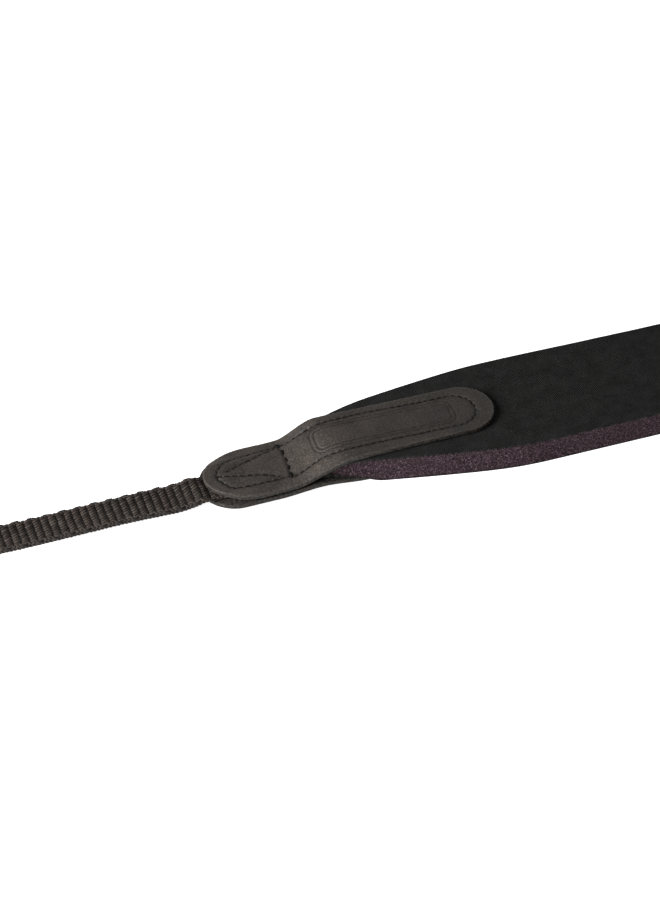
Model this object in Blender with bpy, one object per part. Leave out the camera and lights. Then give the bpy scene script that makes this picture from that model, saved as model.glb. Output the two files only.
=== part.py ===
"""A camera neck strap, laid flat and straight on a table.

A foam pad, faced with cloth above and below, is pinched at each end between two leather tabs. The tabs also hold
the end of a narrow webbing. The webbing runs out through a slider, round a loop for the camera's eyelet, and back
through the slider, where its tail lies under it.

X runs along the strap from its middle, Y across it and Z up from the table, all in metres. Both ends are alike, so
each is described by its reach: the distance from the tip of its tabs towards the middle of the strap. A negative
reach is out along the webbing.
"""

import math
from collections import namedtuple

import bpy

# ---- Driving sizes ---------------------------------------------------------------------------------------------
STRAP_LENGTH = 0.860
TAB_TO_TAB = 0.420
LAYER_GAP = 0.0003

PAD_THICK = 0.0087
CLOTH_THICK = 0.0010
CLOTH_PRESSED_SHARE = 0.3
CLOTH_START = 0.033
FOAM_START = 0.0355

FRONT_LEATHER = 0.0013
BACK_LEATHER = 0.0015
TAB_LENGTH = 0.089
TAB_TIP_RADIUS = 0.01065
TAB_END_RADIUS = 0.0098
RIM_HEIGHT = 0.00345
CROWN_Y = -0.0009
CROWN_FLAT = 0.0068
CROWN_FALL = 0.0030
RISE_START = 0.0250
RISE_LENGTH = 0.0155
RISE_SKEW = 0.0035

WEB_WIDTH = 0.0102
WEB_THICK = 0.0019
WEB_PRESSED = 0.0009
WEB_SWELL = 0.0022
WEB_SEAT_Y = -0.0018
WEB_FAR_Y = -0.0006
WEB_INSIDE = 0.0215
WEB_SAG_AT = 0.010
WEB_SAG_HEIGHT = 0.0015
WEB_LANDING = 0.062
TAIL_LENGTH = 0.050
TAIL_RAMP = 0.014
TAIL_RAMP_GAP = 0.002

LOOP_REACH = 0.030
LOOP_HEIGHT = 0.0072
LOOP_END_FLAT = 0.0016
LOOP_SLOPE = 0.017

SLIDER_BAR = 0.0022
SLIDER_THICK = 0.0018
SLIDER_SLOT = 0.0062
SLIDER_SIDE = 0.0025
SLIDER_SIDE_GAP = 0.0005
SLIDER_ROUND = 0.0004
SLOT_CUTTER_HEIGHT = 3 * SLIDER_THICK
HUMP_FLAT = 0.0006
HUMP_CREST_RADIUS = 0.0018
HUMP_FOOT_RADIUS = 0.0034
HUMP_SLOPE = math.radians(66)

# Half widths of the pad towards -Y and +Y.
PadSection = namedtuple("PadSection", "reach near far")
PAD_SECTIONS = (
    PadSection(0.033, 0.0086, 0.0092),
    PadSection(0.038, 0.0093, 0.0112),
    PadSection(0.050, 0.0113, 0.0148),
    PadSection(0.062, 0.0139, 0.0165),
    PadSection(0.074, 0.0163, 0.0180),
    PadSection(0.086, 0.0184, 0.0192),
    PadSection(0.095, 0.0192, 0.0194),
    PadSection(0.116, 0.0191, 0.0193),
    PadSection(0.143, 0.0190, 0.0190),
    PadSection(TAB_TO_TAB / 2, 0.0190, 0.0190),
)

# A tab's tip is half an ellipse: where it starts, and how far it is to the tab's full width. The back tab's tip
# shows past the front tab's.
Tip = namedtuple("Tip", "start length")
FRONT_TIP = Tip(0.0, 0.0150)
BACK_TIP = Tip(-0.0020, TAB_TIP_RADIUS)

# Height of the back tab's underside: the pad's thick end holds the tab off the table, most of all where the
# stitching pinches it.
TabBase = namedtuple("TabBase", "reach height")
TAB_BASES = (
    TabBase(BACK_TIP.start, 0.0009),
    TabBase(0.020, 0.0010),
    TabBase(0.033, 0.0019),
    TabBase(0.048, 0.0004),
    TabBase(0.060, 0.0000),
)

# How far the webbing's near edge hangs below its far edge, by distance outwards, where the back tab's tip lets go
# of it.
WebRoll = namedtuple("WebRoll", "reach drop")
WEB_ROLLS = (
    WebRoll(0.0010, 0.0000),
    WebRoll(0.0045, 0.0010),
    WebRoll(0.0100, 0.0008),
    WebRoll(0.0300, 0.0000),
)

# The pad's underside drops to the table beside the back tab, from where the pad is wide enough, and past its end.
HANG_START = 0.0460
HANG_LENGTH = 0.0075
FOLD_SIDE = 0.01045
FOLD_WIDTH = 0.0012
FOLD_END = TAB_LENGTH + LAYER_GAP
FOLD_END_WIDTH = 0.0025
FOLD_INNER_SHARE = 0.94
FOLD_OUTER_SHARE = 0.97

# How finely the sheets are divided: stations along the strap, and columns across a tab in shares of its width.
SHARED_STATIONS = (0.033, 0.0355, 0.038, 0.041, 0.0435, 0.046, 0.0485, 0.051, 0.054, 0.060)
PAD_STATIONS = SHARED_STATIONS + (0.067, 0.075, 0.086, FOLD_END, FOLD_END + FOLD_END_WIDTH, 0.095, 0.116, 0.143)
TAB_STATIONS = (0.018, 0.020, 0.022, 0.025, 0.027, 0.029, 0.031) + SHARED_STATIONS + (0.070,)
PAD_INNER_COLUMNS = (0.7, 0.35)
FRONT_TAB_COLUMNS = (-1, -0.76, -0.5, -0.25, 0, 0.25, 0.5, 0.76, 1)
BACK_TAB_COLUMNS = (-1, 0, 1)
TIP_ANGLES = tuple(math.radians(degrees) for degrees in (8, 22, 38, 54, 70, 90))
ARC_STEP = math.radians(14)
RAMP_STEPS = 8

# Heights that follow from the sizes above.
TAB_TOP = PAD_THICK + LAYER_GAP + FRONT_LEATHER
SEAT_HEIGHT = BACK_LEATHER + LAYER_GAP + WEB_PRESSED + LAYER_GAP + FRONT_LEATHER
WEB_REACH = (STRAP_LENGTH - TAB_TO_TAB) / 2
SLIDER_HALF_LENGTH = 1.5 * SLIDER_BAR + SLIDER_SLOT
SLIDER_AT = WEB_REACH - LOOP_REACH - SLIDER_HALF_LENGTH
STRAND_STEP = WEB_THICK + LAYER_GAP
SLIDER_BASE = 2 * STRAND_STEP
HUMP_TOP = SLIDER_BASE + SLIDER_THICK + LAYER_GAP + WEB_THICK / 2

Finish = namedtuple("Finish", "name colour roughness")
FACE_CLOTH = Finish("face_cloth", (0.016, 0.016, 0.016), 0.9)
FOAM = Finish("foam", (0.055, 0.038, 0.046), 0.95)
BACK_CLOTH = Finish("back_cloth", (0.013, 0.013, 0.013), 0.9)
LEATHER = Finish("leather", (0.052, 0.044, 0.039), 0.55)
WEBBING = Finish("webbing", (0.038, 0.029, 0.024), 0.75)
PLASTIC = Finish("slider_plastic", (0.012, 0.012, 0.012), 0.4)


# ---- Small helpers ---------------------------------------------------------------------------------------------
def clear_scene():
    for thing in list(bpy.data.objects):
        bpy.data.objects.remove(thing)


def smooth(share):
    """An S-shaped step from 0 to 1."""
    share = min(1.0, max(0.0, share))
    return share * share * (3 - 2 * share)


def mix(low, high, share):
    return low + (high - low) * share


def straight(share):
    return share


def from_table(rows, column, reach, ease=straight):
    """The column's value at that reach, between the two rows on either side of it."""
    if reach <= rows[0].reach:
        return getattr(rows[0], column)
    for row, after in zip(rows, rows[1:]):
        if reach <= after.reach:
            share = (reach - row.reach) / (after.reach - row.reach)
            return mix(getattr(row, column), getattr(after, column), ease(share))
    return getattr(rows[-1], column)


def material_of(finish):
    made = bpy.data.materials.get(finish.name)
    if made is None:
        made = bpy.data.materials.new(finish.name)
        made.use_nodes = True
        shader = made.node_tree.nodes["Principled BSDF"]
        shader.inputs["Base Color"].default_value = (*finish.colour, 1)
        shader.inputs["Roughness"].default_value = finish.roughness
        shader.inputs["Metallic"].default_value = 0
    return made


def add_solid(name, points, faces, finish):
    mesh = bpy.data.meshes.new(name)
    mesh.from_pydata(points, [], faces)
    mesh.validate()
    mesh.shade_smooth()
    mesh.set_sharp_from_angle(angle=math.radians(35))
    mesh.materials.append(material_of(finish))
    solid = bpy.data.objects.new(name, mesh)
    bpy.context.scene.collection.objects.link(solid)
    return solid


def add_pair(name, shape, finish):
    """The piece at the left end, and its mirror image at the right end. The shape is given from the tabs' tip."""
    points, faces = shape
    left = add_solid(name + "_left", points, faces, finish)
    left.location.x = -TAB_TO_TAB / 2
    mirrored = [(-x, y, z) for x, y, z in points]
    right = add_solid(name + "_right", mirrored, [face[::-1] for face in faces], finish)
    right.location.x = TAB_TO_TAB / 2


# ---- Heights that the layers share -----------------------------------------------------------------------------
def tab_half_width(reach, tip):
    """Half the width of a tab: round at both ends, and a little narrower over the pad than over the webbing."""
    half = mix(TAB_TIP_RADIUS, TAB_END_RADIUS, smooth(reach / TAB_LENGTH))
    short_of_tip = (tip.start + tip.length - reach) / tip.length
    past_end = (reach - TAB_LENGTH + TAB_END_RADIUS) / TAB_END_RADIUS
    for share in (short_of_tip, past_end):
        if share > 0:
            half *= math.sqrt(max(0.0, 1 - share**2))
    return half


def back_tab_base(reach):
    return from_table(TAB_BASES, "height", reach, smooth)


def front_tab_top(reach, y):
    """The front tab lies low over the webbing, crowned where that lies, then rises onto the pad."""
    beside = smooth((abs(y - CROWN_Y) - CROWN_FLAT) / CROWN_FALL)
    seat = back_tab_base(reach) + mix(SEAT_HEIGHT, RIM_HEIGHT, beside)
    length = RISE_LENGTH - RISE_SKEW * y / TAB_TIP_RADIUS
    return mix(seat, TAB_TOP, smooth((reach - RISE_START) / length))


def pad_side(reach, y):
    """Half the width of the pad, on the side where y lies."""
    return from_table(PAD_SECTIONS, "far" if y > 0 else "near", reach)


def fold_lines(side):
    """Where the underside's fold beside the back tab starts and ends, on a pad that is that wide."""
    inner = min(FOLD_SIDE, FOLD_INNER_SHARE * side)
    outer = min(FOLD_SIDE + FOLD_WIDTH, FOLD_OUTER_SHARE * side)
    return inner, outer


def pad_top(reach, y):
    return front_tab_top(reach, y) - FRONT_LEATHER - LAYER_GAP


def pad_base(reach, y):
    """The underside lies over the back tab, and hangs to the table beside it where the pad has grown wider."""
    side = pad_side(reach, y)
    inner, outer = fold_lines(side)
    hang = smooth((reach - HANG_START) / HANG_LENGTH)
    beside = hang * smooth((abs(y) - inner) / (outer - inner))
    past = smooth((reach - FOLD_END) / FOLD_END_WIDTH)
    over_tab = back_tab_base(reach) + BACK_LEATHER + LAYER_GAP
    return over_tab * (1 - beside) * (1 - past)


def cloth_thickness(reach, y):
    """The cloth is squeezed thinner where the tabs pinch the pad's end."""
    return min(CLOTH_THICK, CLOTH_PRESSED_SHARE * (pad_top(reach, y) - pad_base(reach, y)))


# ---- Sheets: the pad's three layers and the tabs ---------------------------------------------------------------
def sheet_shape(stations, columns_at, base, top):
    """A closed sheet between two height functions, on columns of y that are given for each station along X."""
    points = []
    for x in stations:
        columns = columns_at(x)
        points += [(x, y, top(x, y)) for y in columns]
        points += [(x, y, base(x, y)) for y in columns]
    count = len(columns)
    faces = []
    for i in range(len(stations) - 1):
        here, there = i * 2 * count, (i + 1) * 2 * count
        for j in range(count - 1):
            faces.append((here + j, there + j, there + j + 1, here + j + 1))
            low, next_low = here + count + j, there + count + j
            faces.append((low, low + 1, next_low + 1, next_low))
        last = count - 1
        faces.append((here, here + count, there + count, there))
        faces.append((here + last, there + last, there + count + last, here + count + last))
    end = (len(stations) - 1) * 2 * count
    for j in range(count - 1):
        faces.append((j, j + 1, count + j + 1, count + j))
        faces.append((end + j, end + count + j, end + count + j + 1, end + j + 1))
    return points, faces


def pad_columns(reach):
    near, far = pad_side(reach, -1), pad_side(reach, 1)
    near_inner, near_outer = fold_lines(near)
    far_inner, far_outer = fold_lines(far)
    near_half = [-near, -near_outer, -near_inner] + [-share * near_inner for share in PAD_INNER_COLUMNS]
    far_half = [share * far_inner for share in reversed(PAD_INNER_COLUMNS)] + [far_inner, far_outer, far]
    return near_half + [0.0] + far_half


def add_pad_layer(name, start, base, top, finish):
    """One layer of the pad, from the pinched end at -X to the one at +X. base and top are functions of reach, y."""
    reaches = [reach for reach in PAD_STATIONS if reach >= start]
    half = TAB_TO_TAB / 2
    stations = [reach - half for reach in reaches] + [half - reach for reach in reversed(reaches)]

    def at_reach(height):
        return lambda x, y: height(half - abs(x), y)

    def columns_at(x):
        return pad_columns(half - abs(x))

    add_solid(name, *sheet_shape(stations, columns_at, at_reach(base), at_reach(top)), finish)


def add_pad():
    def under_face_cloth(reach, y):
        return pad_top(reach, y) - cloth_thickness(reach, y)

    def over_back_cloth(reach, y):
        return pad_base(reach, y) + cloth_thickness(reach, y)

    def foam_top(reach, y):
        return under_face_cloth(reach, y) - LAYER_GAP

    def foam_base(reach, y):
        return over_back_cloth(reach, y) + LAYER_GAP

    add_pad_layer("pad_face_cloth", CLOTH_START, under_face_cloth, pad_top, FACE_CLOTH)
    add_pad_layer("pad_foam", FOAM_START, foam_base, foam_top, FOAM)
    add_pad_layer("pad_back_cloth", CLOTH_START, pad_base, over_back_cloth, BACK_CLOTH)


def tab_shape(tip, shares, base, top):
    """A tab with round ends, its stations closer together where it curves."""
    tip_stations = [tip.start + tip.length * (1 - math.cos(angle)) for angle in TIP_ANGLES]
    end_stations = [TAB_LENGTH - TAB_END_RADIUS * (1 - math.cos(angle)) for angle in reversed(TIP_ANGLES)]

    def columns_at(reach):
        return [share * tab_half_width(reach, tip) for share in shares]

    return sheet_shape((*tip_stations, *TAB_STATIONS, *end_stations), columns_at, base, top)


def add_tabs():
    def front_base(reach, y):
        return front_tab_top(reach, y) - FRONT_LEATHER

    def back_base(reach, y):
        return back_tab_base(reach)

    def back_top(reach, y):
        return back_tab_base(reach) + BACK_LEATHER

    add_pair("front_tab", tab_shape(FRONT_TIP, FRONT_TAB_COLUMNS, front_base, front_tab_top), LEATHER)
    add_pair("back_tab", tab_shape(BACK_TIP, BACK_TAB_COLUMNS, back_base, back_top), LEATHER)


# ---- The webbing: one band, drawn as a line through the middle of its thickness and given its width --------------
def arc(centre, radius, start, end):
    """Points on an arc in the X-Z plane, angles from +X towards +Z, both ends included."""
    count = max(2, math.ceil(abs(end - start) / ARC_STEP) + 1)
    angles = [mix(start, end, i / (count - 1)) for i in range(count)]
    return [(centre[0] + radius * math.cos(a), centre[1] + radius * math.sin(a)) for a in angles]


def ramp(start, end):
    """Points of an S-curve between two places, without the first."""
    shares = [i / RAMP_STEPS for i in range(1, RAMP_STEPS + 1)]
    return [(mix(start[0], end[0], share), mix(start[1], end[1], smooth(share))) for share in shares]


def hump(lift):
    """Half of the way over the slider's middle bar, from its crest outwards. lift is 0 for the strand that lies
    on the bar and one strand's step for the one on top of it, which runs parallel to it."""
    radii = HUMP_CREST_RADIUS + HUMP_FOOT_RADIUS
    drop = HUMP_TOP - WEB_THICK / 2
    incline = (drop - radii * (1 - math.cos(HUMP_SLOPE))) / math.sin(HUMP_SLOPE)
    foot_at = HUMP_FLAT + radii * math.sin(HUMP_SLOPE) + incline * math.cos(HUMP_SLOPE)
    crest_centre = (HUMP_FLAT, HUMP_TOP - HUMP_CREST_RADIUS)
    foot_centre = (foot_at, WEB_THICK / 2 + HUMP_FOOT_RADIUS)
    down = math.radians(-90)
    crest = arc(crest_centre, HUMP_CREST_RADIUS + lift, -down, -down - HUMP_SLOPE)
    foot = arc(foot_centre, HUMP_FOOT_RADIUS - lift, down - HUMP_SLOPE, down)
    return crest + foot


def webbing_half(outwards):
    """Half the webbing's thickness: pressed thin between the tabs, full just outside them."""
    return mix(WEB_PRESSED, WEB_THICK, smooth(outwards / WEB_SWELL)) / 2


def webbing_line():
    """From inside the tabs out to the loop and back to the tail's end, as (distance outwards, height)."""
    floor = WEB_THICK / 2
    upper = floor + STRAND_STEP
    over_bar, on_bar = hump(STRAND_STEP), hump(0)
    tail_end = SLIDER_AT - on_bar[-1][0] - TAIL_LENGTH
    loop_radius = (LOOP_HEIGHT - LOOP_END_FLAT) / 2
    loop_bend = WEB_REACH - floor - loop_radius
    slope_start = SLIDER_AT + SLIDER_HALF_LENGTH + LAYER_GAP

    line = []
    for outwards in (-WEB_INSIDE, -WEB_INSIDE / 2, 0.0, WEB_SWELL / 2, WEB_SWELL):
        on_back_tab = back_tab_base(-outwards) + BACK_LEATHER + LAYER_GAP
        line.append((outwards, on_back_tab + webbing_half(outwards)))
    line += ramp(line[-1], (WEB_SAG_AT, WEB_SAG_HEIGHT + floor))
    line += ramp(line[-1], (WEB_LANDING, floor))
    line += [(tail_end - TAIL_RAMP_GAP - TAIL_RAMP, floor)]
    line += ramp(line[-1], (tail_end - TAIL_RAMP_GAP, upper))
    line += [(SLIDER_AT - x, z) for x, z in reversed(over_bar)]
    line += [(SLIDER_AT + x, z) for x, z in over_bar]
    line += [(slope_start, upper)]
    line += ramp(line[-1], (slope_start + LOOP_SLOPE, floor + LOOP_HEIGHT))
    line += arc((loop_bend, floor + LOOP_HEIGHT - loop_radius), loop_radius, math.radians(90), 0)
    line += arc((loop_bend, floor + loop_radius), loop_radius, 0, math.radians(-90))
    line += [(SLIDER_AT + x, z) for x, z in reversed(on_bar)]
    line += [(SLIDER_AT - x, z) for x, z in on_bar]
    line += [(tail_end, floor)]
    return line


def webbing_shape():
    """Thin where the tabs press it, full outside them, a little askew, and rolled where it leaves the tabs."""
    points, faces = [], []
    line = webbing_line()
    for i, (outwards, height) in enumerate(line):
        before, after = line[max(i - 1, 0)], line[min(i + 1, len(line) - 1)]
        along = (after[0] - before[0], after[1] - before[1])
        length = math.hypot(*along)
        normal = (-along[1] / length, along[0] / length)
        half = webbing_half(outwards)
        middle = mix(WEB_SEAT_Y, WEB_FAR_Y, min(1.0, max(0.0, outwards / WEB_LANDING)))
        near, far = middle - WEB_WIDTH / 2, middle + WEB_WIDTH / 2
        drop = from_table(WEB_ROLLS, "drop", outwards, smooth)
        for side, y, down in ((half, near, drop), (half, far, 0), (-half, far, 0), (-half, near, drop)):
            points.append((-outwards - normal[0] * side, y, height + normal[1] * side - down))
        if i:
            start, end = 4 * (i - 1), 4 * i
            for j in range(4):
                k = (j + 1) % 4
                faces.append((start + j, start + k, end + k, end + j))
    last = 4 * (len(line) - 1)
    faces.append((3, 2, 1, 0))
    faces.append((last, last + 1, last + 2, last + 3))
    return points, faces


# ---- The slider: a flat plastic frame with three bars and two slots --------------------------------------------
def box_shape(length, width, height):
    x, y, z = length / 2, width / 2, height / 2
    points = [(i, j, k) for i in (-x, x) for j in (-y, y) for k in (-z, z)]
    faces = [(0, 1, 3, 2), (4, 6, 7, 5), (0, 4, 5, 1), (2, 3, 7, 6), (0, 2, 6, 4), (1, 5, 7, 3)]
    return points, faces


def add_slider(name, direction):
    """direction is -1 for the slider at the left end and 1 for the one at the right."""
    slot_width = WEB_WIDTH + 2 * SLIDER_SIDE_GAP
    frame = add_solid(name, *box_shape(2 * SLIDER_HALF_LENGTH, slot_width + 2 * SLIDER_SIDE, SLIDER_THICK), PLASTIC)
    frame.location = (direction * (TAB_TO_TAB / 2 + SLIDER_AT), WEB_FAR_Y, SLIDER_BASE + SLIDER_THICK / 2)
    for place, side in (("inner", -1), ("outer", 1)):
        cutter = add_solid(f"{name}_{place}_slot", *box_shape(SLIDER_SLOT, slot_width, SLOT_CUTTER_HEIGHT), PLASTIC)
        cutter.parent = frame
        cutter.location.x = side * (SLIDER_BAR + SLIDER_SLOT) / 2
        cutter.hide_render = True
        cutter.display_type = "WIRE"
        cut = frame.modifiers.new(f"{place}_slot", "BOOLEAN")
        cut.operation = "DIFFERENCE"
        cut.object = cutter
    bevel = frame.modifiers.new("rounded_edges", "BEVEL")
    bevel.width = SLIDER_ROUND
    bevel.segments = 2
    bevel.limit_method = "ANGLE"


def main():
    clear_scene()
    add_pad()
    add_tabs()
    add_pair("webbing", webbing_shape(), WEBBING)
    add_slider("slider_left", -1)
    add_slider("slider_right", 1)


main()
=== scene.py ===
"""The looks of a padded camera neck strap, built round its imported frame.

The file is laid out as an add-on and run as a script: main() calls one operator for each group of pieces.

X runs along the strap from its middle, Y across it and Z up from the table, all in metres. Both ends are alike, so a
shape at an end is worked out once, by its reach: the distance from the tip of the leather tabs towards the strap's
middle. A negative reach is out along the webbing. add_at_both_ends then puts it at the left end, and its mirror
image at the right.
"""

import math
from collections import namedtuple

import bmesh
import bpy
import numpy as np
from bpy.props import FloatProperty, FloatVectorProperty, IntProperty, PointerProperty
from mathutils import Matrix, Vector, noise


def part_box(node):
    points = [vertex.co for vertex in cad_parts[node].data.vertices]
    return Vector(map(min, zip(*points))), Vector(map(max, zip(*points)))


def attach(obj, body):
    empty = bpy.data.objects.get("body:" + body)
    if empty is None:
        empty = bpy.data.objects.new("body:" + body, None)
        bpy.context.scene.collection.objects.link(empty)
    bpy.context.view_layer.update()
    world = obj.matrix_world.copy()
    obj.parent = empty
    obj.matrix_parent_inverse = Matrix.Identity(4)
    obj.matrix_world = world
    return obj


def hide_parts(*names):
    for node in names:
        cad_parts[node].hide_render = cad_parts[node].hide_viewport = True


bl_info = {
    "name": "Camera Neck Strap",
    "version": (1, 0, 0),
    "blender": (4, 5, 0),
    "location": "3D View > Sidebar > Neck Strap",
    "description": "Builds a padded camera neck strap with leather tabs and ribbed webbing",
    "category": "Object",
}

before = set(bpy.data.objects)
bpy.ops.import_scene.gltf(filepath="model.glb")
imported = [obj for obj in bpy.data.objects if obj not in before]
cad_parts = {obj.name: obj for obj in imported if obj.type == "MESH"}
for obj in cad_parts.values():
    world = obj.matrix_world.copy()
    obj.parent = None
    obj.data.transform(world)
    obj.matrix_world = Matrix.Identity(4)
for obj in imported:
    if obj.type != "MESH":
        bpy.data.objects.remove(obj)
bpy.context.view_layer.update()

MM = 0.001
FACE_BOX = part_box("pad_face_cloth")
SLIDER_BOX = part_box("slider_left")
TIP_AT = 210.0 * MM


# ---- Sizes and colours that a user may change ----
def size_setting(name, description, default):
    return FloatProperty(name=name, description=description, default=default, unit="LENGTH", precision=5, min=0)


def colour_setting(name, description, default):
    return FloatVectorProperty(
        name=name, description=description, default=default, subtype="COLOR", size=3, min=0, max=1
    )


class PadSettings(bpy.types.PropertyGroup):
    thickness: size_setting("Thickness", "Height of the pad's face above the table", FACE_BOX[1].z)
    cloth: size_setting("Cloth", "Thickness of the cloth on each face", 0.5 * MM)
    cell: size_setting("Foam cell", "Width of a cell on the foam's cut side", 0.42 * MM)
    cloth_colour: colour_setting("Cloth colour", "Colour of the knit cloth", (0.0138, 0.0136, 0.0134))
    foam_colour: colour_setting("Foam colour", "Colour of the foam's cell walls", (0.052, 0.0325, 0.0395))
    # The colour inside the foam's cells is painted shade.
    pore_shade_colour: colour_setting("Pore colour", "Colour inside the foam's cells", (0.009, 0.005, 0.007))


class TabSettings(bpy.types.PropertyGroup):
    length: size_setting("Length", "Length of a tab", 89.0 * MM)
    front_leather: size_setting("Front leather", "Thickness of the front tab", 1.3 * MM)
    back_leather: size_setting("Back leather", "Thickness of the back tab", 1.5 * MM)
    tip_radius: size_setting("Tip radius", "Half width of the round end over the webbing", 10.65 * MM)
    end_radius: size_setting("End radius", "Radius of the round end over the pad", 9.8 * MM)
    rim: size_setting("Rim height", "Height of the front tab's rim above the back tab's underside", 3.45 * MM)
    crown: size_setting("Crown height", "Height of the front tab's middle above the back tab's underside", 4.3 * MM)
    rise_start: size_setting("Rise start", "Where the front tab starts to rise onto the pad", 25.0 * MM)
    rise_length: size_setting("Rise length", "Length of that rise", 15.5 * MM)
    stitch_pitch: size_setting("Stitch pitch", "Distance between stitches", 2.25 * MM)
    thread: size_setting("Thread", "Diameter of the thread", 0.46 * MM)
    leather_colour: colour_setting("Leather colour", "Colour of the leather", (0.033, 0.0264, 0.0217))
    edge_colour: colour_setting("Edge colour", "Colour of the leather's cut edge", (0.008, 0.0078, 0.0072))
    thread_colour: colour_setting("Thread colour", "Colour of the thread", (0.004, 0.0036, 0.0033))


class WebbingSettings(bpy.types.PropertyGroup):
    width: size_setting("Width", "Width of the webbing", 10.2 * MM)
    thickness: size_setting("Thickness", "Thickness of the webbing", 1.9 * MM)
    rib_pitch: size_setting("Rib pitch", "Distance between ribs along the webbing", 2.34 * MM)
    yarns: IntProperty(name="Yarns", description="Yarns that lie side by side across a rib", default=9, min=2)
    tail: size_setting("Tail", "Length of the tail beyond the slider", 50.0 * MM)
    yarn_colour: colour_setting("Yarn colour", "Colour of the webbing's yarn", (0.0465, 0.0380, 0.0310))
    # The gap colour is painted shade between the yarns, and the fibres' fine dark streaks take it too.
    fibre_and_gap_shade_colour: colour_setting("Gap colour", "Colour between the yarns", (0.0055, 0.0045, 0.004))
    slider_colour: colour_setting("Slider colour", "Colour of the slider's plastic", (0.0075, 0.0075, 0.0078))


class StageSettings(bpy.types.PropertyGroup):
    azimuth: FloatProperty(
        name="Azimuth", description="Turn of the camera about the strap", default=math.radians(-18.9), subtype="ANGLE"
    )
    elevation: FloatProperty(
        name="Elevation", description="Height of the camera over the table", default=math.radians(42), subtype="ANGLE"
    )
    distance: size_setting("Distance", "Distance from the camera to the point that it looks at", 0.95)
    aim_reach: size_setting("Aim reach", "Distance from the left tabs' tip to the point looked at", 40.3 * MM)
    aim_y: size_setting("Aim y", "Distance across the strap to the point looked at", 5.2 * MM)
    aim_height: size_setting("Aim height", "Height above the table of the point looked at", 0.9 * MM)
    lens: FloatProperty(name="Lens", description="Focal length in millimetres", default=129.2, min=1)
    floor_colour: colour_setting("Floor colour", "Colour of the floor", (0.62, 0.62, 0.62))


class StrapSettings(bpy.types.PropertyGroup):
    pad: PointerProperty(type=PadSettings)
    tabs: PointerProperty(type=TabSettings)
    webbing: PointerProperty(type=WebbingSettings)
    stage: PointerProperty(type=StageSettings)


# ---- Numbers ----
def smooth(share):
    """An S-shaped step from 0 to 1."""
    share = np.clip(share, 0, 1)
    return share * share * (3 - 2 * share)


def mix(low, high, share):
    return low + (high - low) * share


def ridge(distance, width):
    """1 at no distance, falling to 0 over about the width."""
    return np.exp(-((distance / width) ** 2))


def lumps(points, size, seed):
    """Noise from about -1 to 1 at each point, in lumps of about that size."""
    shift = Vector((seed, seed, seed))
    values = [noise.noise(Vector(point) / size + shift) for point in points.reshape(-1, 3).tolist()]
    return np.array(values).reshape(points.shape[:-1])


def distance_to_path(u, y, path):
    """How far each point (u, y) is from a path of straight pieces."""
    best = np.full(np.shape(u), np.inf)
    for (u0, y0), (u1, y1) in zip(path[:-1], path[1:]):
        du, dy = u1 - u0, y1 - y0
        share = np.clip(((u - u0) * du + (y - y0) * dy) / (du * du + dy * dy), 0, 1)
        best = np.minimum(best, np.hypot(u - u0 - share * du, y - y0 - share * dy))
    return best


def rounded_box_distance(u, y, half_size, radius):
    """Signed distance from the outline of a rectangle with round corners about the origin: negative inside it."""
    du = np.abs(u) - half_size[0] + radius
    dy = np.abs(y) - half_size[1] + radius
    outside = np.hypot(np.maximum(du, 0), np.maximum(dy, 0))
    return outside + np.minimum(np.maximum(du, dy), 0) - radius


def arc_points(centre, radius, start, end, step):
    """Points on an arc in a plane, both ends included, with the angles in degrees."""
    count = max(2, math.ceil(abs(end - start) / step) + 1)
    angles = np.radians(np.linspace(start, end, count))
    return [(centre[0] + radius * math.cos(a), centre[1] + radius * math.sin(a)) for a in angles]


# ---- Heights and widths that the pieces share ----
LAYER_GAP = 0.3 * MM
CROWN_Y = -0.9 * MM
CROWN_FLAT = 5.9 * MM
CROWN_FALL = 4.1 * MM
RISE_SKEW = 3.5 * MM

# Half widths of the pad towards -Y and +Y.
PadSection = namedtuple("PadSection", "reach near far")
PAD_SECTIONS = (
    PadSection(0.033, 0.0086, 0.0092),
    PadSection(0.038, 0.0093, 0.0112),
    PadSection(0.050, 0.0113, 0.0148),
    PadSection(0.062, 0.0139, 0.0165),
    PadSection(0.074, 0.0163, 0.0180),
    PadSection(0.086, 0.0184, 0.0192),
    PadSection(0.095, 0.0192, 0.0194),
    PadSection(0.116, 0.0191, 0.0193),
    PadSection(0.143, 0.0190, 0.0190),
    PadSection(TIP_AT, 0.0190, 0.0190),
)
SECTION_BLEND = np.linspace(-5 * MM, 5 * MM, 9)

# A tab's tip is half an ellipse: where it starts, and how far it is to the tab's full width. The back tab's tip
# shows past the front tab's.
Tip = namedtuple("Tip", "start length")
FRONT_TIP = Tip(0.0, 0.0150)
BACK_TIP = Tip(-0.0012, 0.01065)

# Height of the back tab's underside: the pad's thick end holds the tab off the table, most of all where the
# stitching pinches it.
TabBase = namedtuple("TabBase", "reach height")
TAB_BASES = (
    TabBase(BACK_TIP.start, 0.0009),
    TabBase(0.020, 0.0010),
    TabBase(0.033, 0.0019),
    TabBase(0.048, 0.0004),
    TabBase(0.060, 0.0000),
)

# The pad's underside drops to the table beside the back tab, from where the pad is wide enough, and past its end.
HANG_START = 42.5 * MM
HANG_LENGTH = 9.0 * MM
FOLD_SIDE = 10.45 * MM
FOLD_WIDTH = 1.2 * MM
FOLD_END_WIDTH = 2.5 * MM
FOLD_INNER_SHARE = 0.94
FOLD_OUTER_SHARE = 0.97

# The two cloths meet at the pad's pinched end, and from there on the foam parts them.
CLOTH_PRESSED_SHARE = 0.3
CLOTH_MET_SHARE = 0.48
CLOTH_PARTING = 35.0 * MM
CLOTH_PARTING_LENGTH = 4.5 * MM


def eased(rows, place):
    """The value of a table of (place, value) rows at that place, with an S-curve from each row to the next."""
    value = rows[0][1]
    for (start, low), (end, high) in zip(rows, rows[1:]):
        value = value + (high - low) * smooth((place - start) / (end - start))
    return value


def tab_side(reach, tabs):
    """Half the width of a tab between its round ends: a little narrower over the pad than over the webbing."""
    return mix(tabs.tip_radius, tabs.end_radius, smooth(reach / tabs.length))


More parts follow.
